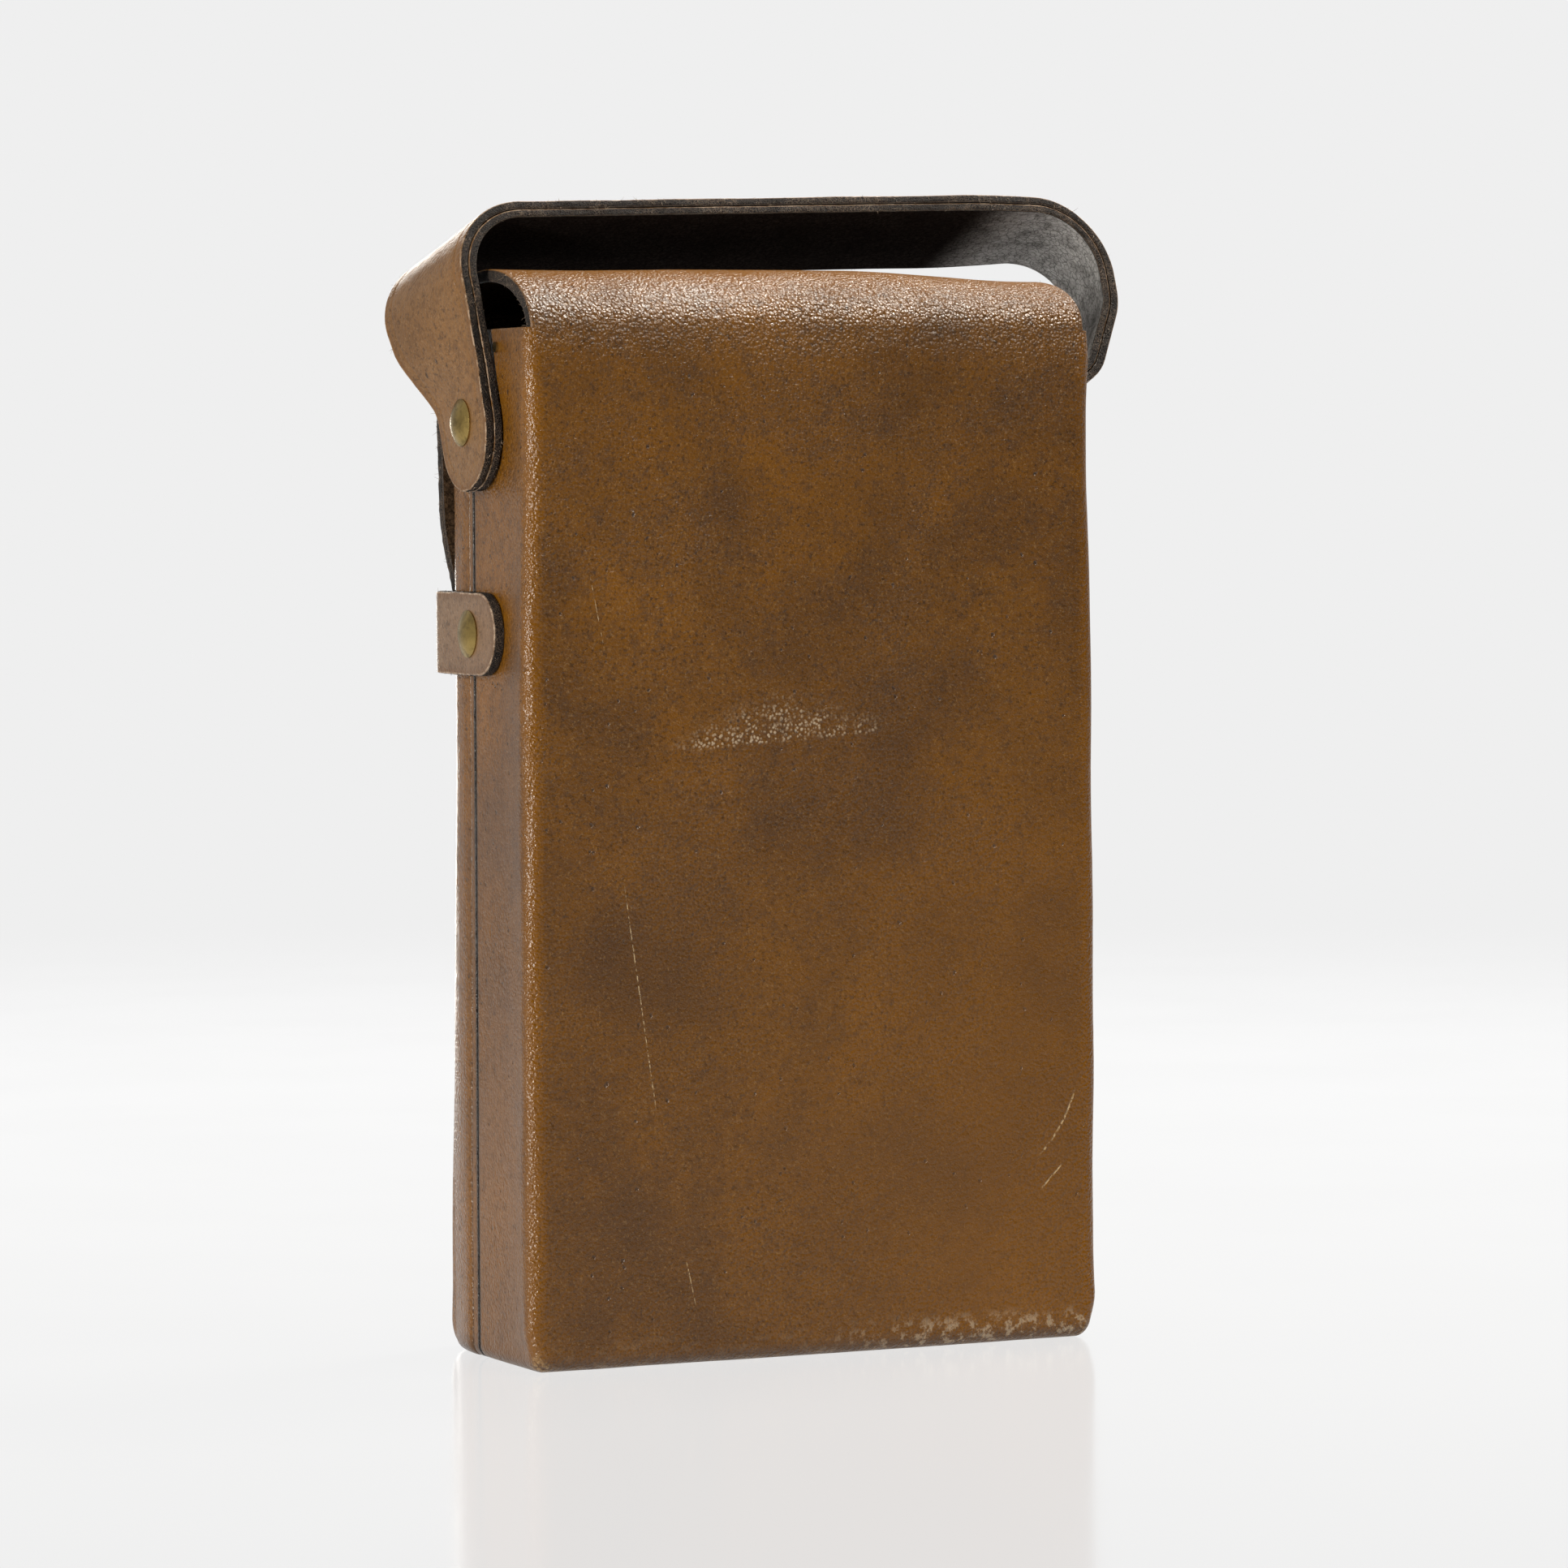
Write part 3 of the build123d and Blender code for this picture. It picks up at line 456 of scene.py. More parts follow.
back_seam = SEAM_BACK + 0.22
outer, inner, shell_faces = case_surfaces(True, back_seam, back_share, back_radius, HEEL_RADIUS)
at_mouth = outer[:, 2] > WALL_TOP - 0.01
outer[:, 0] += swell(outer, True)
normal = vertex_normals(outer, shell_faces)
lift = hand_made(outer)
seam_fade = smooth(np.abs(outer[:, 1] - back_seam), 0.0, 4.0)
wrinkle, lean, fold_back = fold_shape(outer)
outer = outer + normal * (lift * (0.35 + 0.65 * seam_fade) + wrinkle)[:, None]
outer[:, 1] -= lean
inner[:, 1] -= fold_shape(inner)[1]
outer[:, 2] = np.where(at_mouth, WALL_TOP, np.maximum(outer[:, 2], 0.0))
corner_wear = np.exp(-((np.hypot(HALF - np.abs(outer[:, 0]), BACK - outer[:, 1]) / 2.6) ** 2))
bottom_wear = np.exp(-((outer[:, 2] / 3.2) ** 2))
at_fold = (outer[:, 2] > WALL_TOP - 0.2) & (outer[:, 1] > BACK - 3.2)
cut_back = np.where(at_fold & (np.abs(outer[:, 0]) < LID_HALF + 0.4), 0.0, 1.0)
back_leather = shell(
    "case_back_leather", outer, inner, shell_faces, cut=cut_back, bulge=0.12, fray=0.03,
    extra={"wear": np.clip(0.6 * corner_wear + 0.8 * bottom_wear, 0, 1), "fold": fold_back,
           "polish": 1.3 * corner_wear, "seam": np.exp(-(((outer[:, 1] - back_seam) / 0.3) ** 2))},
)

# Front tray, with the embossed line beside its seam
tray_seam = SEAM_FRONT - 0.22
groove_at = 2.7
tray_share_first = [0, 0.12, 0.35, 0.8, 1.5, 2.1, 2.35, 2.5, 2.7, 2.9, 3.05, 3.3, 3.9]
tray_share = shares(tray_share_first, [0, 0.5, 1.1, 1.7, 2.4, 3.1, 3.9, 4.8], tray_seam - FOOT_Y)


def front_radius(y, z):
    """The upright front edges are rounder than the rest."""
    return 2.6 + 0.8 * smooth(-y, 7.5, 13.0) * smooth(z, 2.0, 14.0)


outer, inner, tray_faces = case_surfaces(False, tray_seam, tray_share, front_radius, TOE_RADIUS)
outer[:, 0] += swell(outer, False)
normal = vertex_normals(outer, tray_faces)
from_seam = tray_seam - outer[:, 1]
span_at = tray_seam - front_y(outer[:, 2])
from_seam_equal = from_seam * (tray_seam - FOOT_Y) / np.maximum(span_at, 1.0)
groove = np.exp(-(((from_seam_equal - groove_at) / 0.3) ** 2))
lift = hand_made(outer) * (0.35 + 0.65 * smooth(from_seam, 0.0, 4.0)) - 0.42 * groove
outer = outer + normal * lift[:, None]
outer[:, 2] = np.maximum(outer[:, 2], 0.0)
toe_wear = np.exp(-((outer[:, 2] / 3.5) ** 2)) * smooth(-outer[:, 1], 12, 24)
from_edge = np.hypot(HALF - np.abs(outer[:, 0]), outer[:, 1] - front_y(outer[:, 2]))
front_wear = np.exp(-((from_edge / 3.4) ** 2))
tray_leather = shell(
    "front_tray_leather", outer, inner, tray_faces, bulge=0.12, fray=0.03,
    extra={"wear": np.clip(0.5 * front_wear + 0.7 * toe_wear, 0, 1), "fold": 0 * toe_wear,
           "polish": smooth(from_seam, 3.0, 4.5),
           "seam": np.exp(-((from_seam / 0.3) ** 2)) + 0.7 * groove}, seed=21,
)

# ------------------------------------------------------------------ the lid


def lid_section(inset):
    """The lid's side view, as dense points (y, z) from the back fold over to its tip."""
    mid = (BACK + LID_FRONT) / 2
    half_depth, rise = (BACK - LID_FRONT) / 2 - inset, LID_TOP - CREASE_Z - inset
    angle = np.linspace(0, math.pi, 241)
    roll = np.stack([mid + half_depth * np.cos(angle), CREASE_Z + rise * np.sin(angle)], 1)
    y0, y1, y2 = LID_FRONT + inset, WAIST_Y - 1.1 - LEATHER + inset, WAIST_Y - 0.5 - LEATHER + inset
    t = np.linspace(0, 1, 161)[1:]
    z = CREASE_Z + (LID_TIP_Z - CREASE_Z) * t
    y = y0 + (y1 - y0) * smooth(t, 0, 0.62) + (y2 - y1) * smooth(t, 0.45, 1.0)
    drop = np.stack([y, z], 1)
    root = np.array([[BACK - inset, WALL_TOP]])
    return np.concatenate([root, roll, drop])


def along(line, distances):
    """Points at these distances along a line."""
    s = run_length(line)
    return np.stack([np.interp(distances, s, line[:, k]) for k in range(line.shape[1])], -1)


TIP_CORNER = 18.0
section = lid_section(0.0)
section_s = run_length(section)
lid_length = section_s[-1]
lid_s = steps(lid_length, 1.0)
shell_x = (across - HALF) / LID_HALF
lid_t = np.unique(np.round(np.concatenate([
    shell_x[np.abs(shell_x) < 0.985], [-1, -0.998, -0.994, -0.988, 0.988, 0.994, 0.998, 1]]), 6))
tt, ss = np.meshgrid(lid_t, lid_s, indexing="ij")
tt, ss = tt.ravel(), ss.ravel()
height = along(section, ss)[:, 1]
going_down = ss > lid_length / 2
widening = np.where(going_down, smooth(height, 132.0, 164.0), 1.0)
wide = LID_TIP_HALF + (LID_HALF - LID_TIP_HALF) * widening
spread = 1.1 * smooth(height, 142.0, 160.0) * smooth(194.0 - height, 0.0, 16.0)
wide = wide + np.where(going_down, spread, 0.0)
x = tt * wide
to_tip = lid_length - ss
p, q = np.abs(x) - (wide - TIP_CORNER), TIP_CORNER - to_tip
p2, q2 = round_corner(p, q, TIP_CORNER)
both = (p > 0) & (q > 0)
x = np.where(both, np.sign(x) * (wide - TIP_CORNER + p2), x)
ss = np.where(both, lid_length - (TIP_CORNER - q2), ss)
surfaces = []
tangent_line = unit(np.gradient(section, axis=0))
tangent_line[0] = tangent_line[1] = (0, 1)
side_line = np.stack([tangent_line[:, 1], -tangent_line[:, 0]], 1)
for inset in (0.0, LEATHER):
    shifted = section - side_line * inset
    yz = np.stack([np.interp(ss, section_s, shifted[:, k]) for k in range(2)], 1)
    surfaces.append(np.stack([x, yz[:, 0], yz[:, 1]], 1))
lid_faces = grid(len(lid_t), len(lid_s))
outer, inner = surfaces
root_radius = 3.0
over = np.clip(np.abs(x) - (HALF + MOUTH_SWELL - root_radius), 0.0, root_radius)
tuck = (root_radius - np.sqrt(root_radius**2 - over**2)) * (1 - smooth(ss, 0.0, 7.0))
outer[:, 1] -= tuck
inner[:, 1] -= tuck
normal = vertex_normals(outer, lid_faces)
if np.mean(normal[outer[:, 1] > BACK - 1.0, 1]) < 0:
    lid_faces = lid_faces[:, ::-1]
    normal = -normal
lift = hand_made(outer)
root_fade = smooth(ss, 0.0, 1.5)
wrinkle, lean, fold_lid = fold_shape(outer)
outer = outer + normal * (lift + wrinkle)[:, None]
inner = inner + normal * (0.7 * lift * root_fade)[:, None]
outer[:, 1] -= lean
inner[:, 1] -= fold_shape(inner)[1]
sag = np.exp(-(((ss - 24.0) / 17.0) ** 2)) * smooth(ss, 0.0, 10.0) * (
    1.35 - 0.45 * smooth(x, 15.0, 50.0) - 1.75 * smooth(-x, 14.0, 56.0))
outer[:, 2] += sag
inner[:, 2] += sag
cut_lid = np.where((ss < 0.6) & (np.abs(x) < LID_HALF - 0.4), 0.0, 1.0)
lid_wear = 0.6 * np.exp(-(((ss - 23.0) / 14.0) ** 2)) + np.exp(-((to_tip / 3.0) ** 2)) * 0.6
lid_leather = shell(
    "lid_leather", outer, inner, lid_faces, cut=cut_lid, bulge=0.25, fray=0.2,
    extra={"wear": np.clip(lid_wear, 0, 1), "fold": fold_lid}, seed=31,
)

# ------------------------------------------------------------------ straps


def fillet_line(points, radii, pitch=0.6):
    """A dense line through corner points with their corners rounded."""
    points = [np.array(p, float) for p in points]
    out = [points[0]]
    for before, corner, after, radius in zip(points[:-2], points[1:-1], points[2:], radii):
        a, b = unit(before - corner), unit(after - corner)
        half = math.acos(float(np.clip(a @ b, -1, 1))) / 2
        reach = radius / math.tan(half)
        centre = corner + unit(a + b) * radius / math.sin(half)
        first, last = corner + a * reach - centre, corner + b * reach - centre
        turn = math.pi - 2 * half
        count = max(4, int(radius * turn / pitch))
        for k in range(count + 1):
            w = k / count
            arc = math.sin((1 - w) * turn) * first + math.sin(w * turn) * last
            out.append(centre + arc / math.sin(turn))
    out.append(points[-1])
    line = np.array(out)
    s = run_length(line)
    even = np.linspace(0, s[-1], int(s[-1] / pitch) + 1)
    return along(line, even)


def strap(name, line, origin, axis_u, axis_v, axis_w, half_width, low, high, end_radius,
          crease_in=None, moved="outer", wave=0.2, bulge=0.25, fray=0.08, seed=5, extra_wear=None,
          flare=None, worn=None):
    """A bent strap whose inner face follows line in the plane of axis_u and axis_v.

    Its leather lies between low and high out from that face. Both ends are round. moved is the
    surface that is uneven: the other one lies against the next ply.
    """
    step = run_length(line)
    length = step[-1]
    tangent = unit(np.gradient(line, axis=0))
    side = np.stack([tangent[:, 1], -tangent[:, 0]], 1)
    s_values = steps(length, 0.85)
    half_max = half_width(line).max()
    t_edge = [0, 0.12, 0.35, 0.7, 1.2, 1.7]
    if crease_in:
        t_edge += [crease_in - 0.4, crease_in - 0.22, crease_in, crease_in + 0.22, crease_in + 0.4]
    first = np.array(t_edge)
    middle = np.linspace(first[-1] + 0.7, 2 * half_max - first[-1] - 0.7, int(2 * half_max - 6))
    t_values = np.concatenate([first, middle, 2 * half_max - first[::-1]]) / half_max - 1
    tt, ss = np.meshgrid(t_values, s_values, indexing="ij")
    tt, ss = tt.ravel(), ss.ravel()
    hw_line = half_width(line)
    hw = np.interp(ss, step, hw_line)
    inside = (1 - np.abs(tt)) * half_max
    middle_w = tt * half_max * (hw - 4.0) / (half_max - 4.0)
    w = np.where(inside < 4.0, np.sign(tt) * (hw - inside), middle_w)
    to_end = np.minimum(ss, length - ss)
    from_edge = np.minimum(hw - np.abs(w), to_end)
    radius = end_radius
    p, q = np.abs(w) - (hw - radius), radius - to_end
    p2, q2 = round_corner(p, q, radius)
    both = (p > 0) & (q > 0)
    w = np.where(both, np.sign(w) * (hw - radius + p2), w)
    new_to_end = np.where(both, radius - q2, to_end)
    ss = np.where(ss < length / 2, new_to_end, length - new_to_end)
    origin, axis_u, axis_v, axis_w = map(np.array, (origin, axis_u, axis_v, axis_w))
    surfaces = []
    for depth in (high, low):
        shifted = line + side * depth
        uv = np.stack([np.interp(ss, step, shifted[:, k]) for k in range(2)], 1)
        if flare:
            uv[:, 0] += flare(uv, (hw - w) / (2 * hw))
        surfaces.append(origin + uv[:, :1] * axis_u + uv[:, 1:] * axis_v + w[:, None] * axis_w)
    outer, inner = surfaces
    faces = grid(len(t_values), len(s_values))
    normal = vertex_normals(outer, faces)
    away = unit(outer - inner)
    if np.mean(np.sum(normal * away, 1)) < 0:
        faces, normal = faces[:, ::-1], -normal
    surface_wave = wave * (0.5 * field(outer, 11.0, seed, 2) + 0.12 * field(outer, 3.0, seed + 1, 2))
    press = np.zeros(len(outer))
    if crease_in:
        press = np.exp(-(((from_edge - crease_in) / 0.3) ** 2))
    settle = smooth(np.minimum(to_end, 20.0), -1.0, 6.0)
    if moved == "outer":
        outer = outer + normal * (surface_wave * settle - 0.13 * press)[:, None]
    else:
        inner = inner + normal * (surface_wave * settle)[:, None] * 0.5
    edge_line = 0.18 * field(np.stack([ss, np.sign(w) * 50.0, 0 * ss], 1), 9.0, seed + 4, 2)
    shift = axis_w[None, :] * (edge_line * smooth(to_end, 8.0, 20.0))[:, None]
    outer, inner = outer + shift, inner + shift
    wear = np.exp(-((from_edge / 0.8) ** 2)) * 0.8 + 0.12 * press
    if extra_wear:
        wear = wear + extra_wear(outer)
    extra = {"wear": np.clip(wear, 0, 1), "fold": 0 * wear}
    # worn gives the mask of a painted sheen on the flesh side
    if worn:
        extra["worn"] = worn(outer)
    return shell(name, outer, inner, faces, bulge=bulge, fray=fray, extra=extra, seed=seed + 7)


# Handle, in its own leaning plane
strap_x = HALF + 0.3
radial = (0.0, -math.sin(LEAN), math.cos(LEAN))
sideways = (0.0, math.cos(LEAN), math.sin(LEAN))
TAB_HALF, STRAP_HALF, PLY = 11.0, 14.5, 1.65
RISE, TAB_DROP = 37.3, 13.0
handle_line = fillet_line(
    [(strap_x, -TAB_DROP), (strap_x, 7.0), (strap_x + 3.0, RISE - 1.6), (-strap_x - 14.5, RISE + 2.5),
     (-strap_x - 14.3, 21.5), (-strap_x - 8.0, 8.5), (-strap_x, 3.2), (-strap_x, -TAB_DROP)],
    (14.0, 11.0, 12.0, 10.0, 6.0, 4.0),
)


def handle_half_width(line):
    """The handle is narrow at its tabs and widens into the grip, later at its worn end."""
    near = smooth(line[:, 1], 3.0, 29.0)
    far = smooth(line[:, 0], -80.0, -44.0)
    return TAB_HALF + (STRAP_HALF - TAB_HALF) * np.where(line[:, 0] > 0, near, far)


def bend_wear(points):
    """Wear where the handle bends over at the top corners."""
    return 0.25 * np.exp(-(((np.abs(points[:, 0]) - 63.0) / 5.0) ** 2)) * smooth(points[:, 2], 195, 205)


def handle_flare(uv, from_near):
    """Both risers are turned a little, so that their front edges stand further out."""
    near_side, far_side = smooth(uv[:, 0], 28.0, 58.0), smooth(-uv[:, 0], 30.0, 62.0)
    return from_near * smooth(uv[:, 1], 4.0, 20.0) * (4.6 * near_side - 4.5 * far_side)


def grip_painted_sheen(points):
    """A painted sheen: the underside is painted pale grey where it bends down at the far end."""
    return smooth(-points[:, 0], 47.0, 62.0)


inner_ply = strap(
    "handle_inner_leather", handle_line, PIVOT, (1, 0, 0), radial, sideways, handle_half_width,
    0.0, PLY - 0.08, TAB_HALF - 0.02, moved="inner", wave=0.15, bulge=0.16, fray=0.17, seed=61,
    flare=handle_flare, worn=grip_painted_sheen,
)
outer_ply = strap(
    "handle_outer_leather", handle_line, PIVOT, (1, 0, 0), radial, sideways, handle_half_width,
    PLY + 0.08, 2 * PLY, TAB_HALF - 0.02, crease_in=2.4, wave=0.28, bulge=0.2, fray=0.2, seed=71,
    extra_wear=bend_wear, flare=handle_flare,
)

# Keeper, level across the front
KEEPER_THICK = keeper_high[0] - HALF
keeper_inner_y = keeper_low[1] + KEEPER_THICK
keeper_line = fillet_line(
    [(-HALF, keeper_high[1]), (-HALF, keeper_inner_y), (HALF, keeper_inner_y), (HALF, keeper_high[1])],
    (4.5, 4.5),
)
keeper = strap(
    "keeper_leather", keeper_line, (0, 0, KEEPER_Z), (1, 0, 0), (0, 1, 0), (0, 0, 1),
    lambda line: np.full(len(line), KEEPER_HALF), 0.06, KEEPER_THICK, KEEPER_HALF - 0.02,
    wave=0.22, bulge=0.25, fray=0.16, seed=81,
)

# ------------------------------------------------------------------ lining and spring

lining_top = lining_high[2]
LINING_IN = HALF - lining_high[0]


def lining_surface(inset):
    """The cloth lining as an open box with small rounded edges, at this inset."""
    wide, back, bottom = HALF - inset, BACK - inset, inset
    ring_x = np.concatenate([
        np.linspace(-wide, wide, 70), np.full(24, wide),
        np.linspace(wide, -wide, 70), np.full(24, -wide)])
    share = np.concatenate([
        np.ones(70), np.linspace(1, 0, 26)[1:-1], np.zeros(70), np.linspace(0, 1, 26)[1:-1]])
    zs = np.concatenate([[lining_top, lining_top - 0.15, lining_top - 0.5, lining_top - 1.2],
                         np.linspace(lining_top - 2.4, bottom + 1.6, 110), [bottom + 0.8, bottom]])
    xx, zz = np.meshgrid(ring_x, zs, indexing="ij")
    front = front_y(np.maximum(zz, TOE_RADIUS)) + inset
    yy = front + (back - front) * share[:, None]
    return np.stack([xx, yy, zz], -1)


def make_lining():
    """Joins the lining's walls and floor, inside and outside."""
    surfaces, order = [], None
    for inset in (LINING_IN, LINING_IN + 0.75):
        walls = lining_surface(inset)
        nu, nv = walls.shape[:2]
        walls = walls.reshape(-1, 3)
        a = np.arange(nu)
        i, j = np.meshgrid(a, np.arange(nv - 1), indexing="ij")
        k = (i + 1) % nu
        quads = np.stack([i * nv + j, i * nv + j + 1, k * nv + j + 1, k * nv + j], -1).reshape(-1, 4)
        xs = np.linspace(-(HALF - inset), HALF - inset, 70)
        ys = np.concatenate([[1.0], np.linspace(1, 0, 26)[1:-1], [0.0]])
        fx, fs = np.meshgrid(xs, ys, indexing="ij")
        front = float(front_y(TOE_RADIUS)) + inset
        fy = front + (BACK - inset - front) * fs
        floor = np.stack([fx, fy, np.full_like(fx, inset)], -1).reshape(-1, 3)
        floor_quads = grid(len(xs), len(ys)) + len(walls)
        points = np.concatenate([walls, floor])
        if order is None:
            _, faces, order = weld(points, np.concatenate([quads, floor_quads]), 2e-3)
        surfaces.append(points[order])
    wave = 0.05 * field(surfaces[0], 7.0, 91, 2)
    return surfaces, faces, wave


(lining_out, lining_in), lining_faces, lining_wave = make_lining()
lining_normal = vertex_normals(lining_out, lining_faces)
lining_out = lining_out - lining_normal * np.abs(lining_wave)[:, None]
lining = shell("lining_cloth_box", lining_out, lining_in, lining_faces, bulge=0.1, fray=0.05,
               extra={"wear": 0 * lining_wave, "fold": 0 * lining_wave}, seed=95)


def tube(line, radius, sides=8):
    """A tube of quads with closed ends round a line of points."""
    line = np.asarray(line, float)
    tangent = unit(np.gradient(line, axis=0))
    helper = np.where(np.abs(tangent[:, 2:3]) < 0.9, [[0, 0, 1.0]], [[1.0, 0, 0]])
    a = unit(np.cross(tangent, helper))
    b = np.cross(tangent, a)
    angle = np.linspace(0, 2 * math.pi, sides, endpoint=False)
    radius = np.broadcast_to(np.asarray(radius, float), (len(line),))
    ring = a[:, None] * np.cos(angle)[None, :, None] + b[:, None] * np.sin(angle)[None, :, None]
    points = (line[:, None] + ring * radius[:, None, None]).reshape(-1, 3)
    quads = []
    for i in range(len(line) - 1):
        for k in range(sides):
            m = (k + 1) % sides
            quads.append((i * sides + k, i * sides + m, (i + 1) * sides + m, (i + 1) * sides + k))
    quads.append(tuple(range(sides))[::-1])
    quads.append(tuple((len(line) - 1) * sides + k for k in range(sides)))
    return points, quads


spring_mid = (spring_low + spring_high) / 2
wire = 0.3
coil = (spring_high[1] - spring_low[1]) / 2 - wire
turns, count = 4, 160
u = np.linspace(0, 1, count)
pitch_u = np.clip((u - 0.06) / 0.88, 0, 1)
spring_points = np.stack([
    spring_low[0] + wire + pitch_u * (spring_high[0] - spring_low[0] - 2 * wire),
    spring_mid[1] + coil * np.cos(2 * math.pi * turns * u),
    spring_mid[2] + coil * np.sin(2 * math.pi * turns * u)], 1)
spring = new_object("button_coil_spring", *tube(spring_points, wire))

# ------------------------------------------------------------------ loose fibres on the cut edges


def fibres(name, places, directions, count, seed, length=(0.25, 0.9), radius=0.045):
    """Short bent fibres that stand off a cut edge."""
    rng = np.random.default_rng(seed)
    pick = rng.integers(0, len(places), count)
    all_points, all_faces, start = [], [], 0
    for k in pick:
        base = places[k]
        out = unit(directions[k] + 0.9 * rng.normal(size=3))
        size = rng.uniform(*length)
        curl = rng.normal(size=3) * 0.45
        w = np.linspace(0, 1, 5)[:, None]
        line = base - out * 0.15 + out * size * w * (1 - 0.3 * w) + curl * size * w**2
        points, faces = tube(line, radius * (1 - 0.7 * w[:, 0]), 3)
        all_points.append(points)
        all_faces += [tuple(i + start for i in f) for f in faces]
        start += len(points)
    points = np.concatenate(all_points)
    return new_object(name, points, all_faces, {"rest": points * MM})


def rim_of(obj):
    """Points of an object's cut edge, with the direction out of each."""
    mesh = obj.data
    n = len(mesh.vertices)

    def read(source, key, values):
        source.foreach_get(key, values)
        return values

    place = read(mesh.vertices, "co", np.zeros(n * 3)).reshape(-1, 3) / MM
    outward = read(mesh.vertices, "normal", np.zeros(n * 3)).reshape(-1, 3)
    layer = read(mesh.attributes["layer"].data, "value", np.zeros(n, np.float32))
    edge = read(mesh.attributes["edge"].data, "value", np.zeros(n, np.float32))
    pick = (layer > 0.05) & (layer < 0.95) & (edge < 0.01)
    return place[pick], outward[pick]


# ------------------------------------------------------------------ material nodes


class Shader:
    """A short way to write a node material."""

    def __init__(self, name):
        self.material = bpy.data.materials.new(name)
        self.material.use_nodes = True
        self.tree = self.material.node_tree
        self.tree.nodes.clear()
        self.output = self.tree.nodes.new("ShaderNodeOutputMaterial")
        self.bsdf = self.tree.nodes.new("ShaderNodeBsdfPrincipled")
        self.tree.links.new(self.bsdf.outputs[0], self.output.inputs[0])

    def put(self, socket, value):
        if isinstance(value, bpy.types.NodeSocket):
            self.tree.links.new(value, socket)
        elif value is not None:
            if isinstance(value, (tuple, list)) and len(value) == 3 and socket.type == "RGBA":
                value = (*value, 1.0)
            socket.default_value = value

    def set(self, **values):
        for key, value in values.items():
            self.put(self.bsdf.inputs[key.replace("_", " ")], value)

    def node(self, kind, inputs=None, **options):
        node = self.tree.nodes.new("ShaderNode" + kind)
        for key, value in options.items():
            setattr(node, key, value)
        for key, value in (inputs or {}).items():
            self.put(node.inputs[key], value)
        return node

    def math(self, operation, a, b=None, clamp=False):
        node = self.node("Math", operation=operation, use_clamp=clamp)
        self.put(node.inputs[0], a)
        self.put(node.inputs[1], b)
        return node.outputs[0]

    def mul(self, a, b, clamp=False):
        return self.math("MULTIPLY", a, b, clamp=clamp)

    def add(self, a, b, clamp=False):
        return self.math("ADD", a, b, clamp=clamp)

    def sub(self, a, b, clamp=False):
        return self.math("SUBTRACT", a, b, clamp=clamp)

    def vmath(self, operation, a, b=None, scale=None):
        node = self.node("VectorMath", operation=operation)
        self.put(node.inputs[0], a)
        self.put(node.inputs[1], b)
        if scale is not None:
            self.put(node.inputs["Scale"], scale)
        return node.outputs["Value" if operation in ("LENGTH", "DOT_PRODUCT") else 0]

    def mix(self, share, a, b, blend="MIX"):
        node = self.node("Mix", data_type="RGBA", blend_type=blend)
        self.put(node.inputs["Factor"], share)
        self.put(node.inputs[6], a)
        self.put(node.inputs[7], b)
        return node.outputs[2]

    def range(self, value, a, b, c=0.0, d=1.0, kind="SMOOTHSTEP"):
        node = self.node("MapRange", {0: value, 1: a, 2: b, 3: c, 4: d}, interpolation_type=kind)
        return node.outputs[0]

    def attribute(self, name, vector=False):
        node = self.node("Attribute", attribute_name=name, attribute_type="GEOMETRY")
        return node.outputs["Vector" if vector else "Fac"]

    def object_place(self):
        return self.node("TexCoord").outputs["Object"]

    def noise(self, vector, scale, detail=3.0, rough=0.5, distort=0.0, colour=False):
        node = self.node("TexNoise", {"Vector": vector, "Scale": scale, "Detail": detail,
                                      "Roughness": rough, "Distortion": distort})
        return node.outputs["Color" if colour else "Fac"]

    def cells(self, vector, scale, feature="F1", random=1.0):
        inputs = {"Vector": vector, "Scale": scale, "Randomness": random}
        return self.node("TexVoronoi", inputs, feature=feature)

    def gaps(self, vector, scale, feature="F1", random=1.0):
        """How far each place is from the nearest cell's middle, or from its border."""
        return self.cells(vector, scale, feature, random).outputs["Distance"]

    def pick(self, colour, channel, low, high):
        """1 in the cells whose own random colour is above this in one channel."""
        return self.range(self.node("SeparateColor", {0: colour}).outputs[channel], low, high)

    def axes(self, place):
        return self.node("SeparateXYZ", {0: place}).outputs

    def shaken(self, place, scale, distance, detail=2.0, rough=0.5):
        """The place, moved about by noise so that a cell pattern isn't regular."""
        noise = self.noise(place, scale, detail, rough, colour=True)
        return self.vmath("ADD", place, self.vmath("SCALE", noise, None, distance))

    def stretch(self, vector, factors):
        return self.vmath("MULTIPLY", vector, factors)

    def done(self, colour, roughness, height, distance, **rest):
        """Sets the surface's colour, roughness and bump, and gives the finished material."""
        self.set(Base_Color=colour, Roughness=roughness, **rest)
        bump = self.node("Bump", {"Height": height, "Distance": distance})
        self.put(self.bsdf.inputs["Normal"], bump.outputs[0])
        return self.material


def srgb(r, g, b):
    """A colour given by its display values out of 255, as linear light."""
    def linear(c):
        c /= 255.0
        return c / 12.92 if c <= 0.04045 else ((c + 0.055) / 1.055) ** 2.4
    return linear(r), linear(g), linear(b)


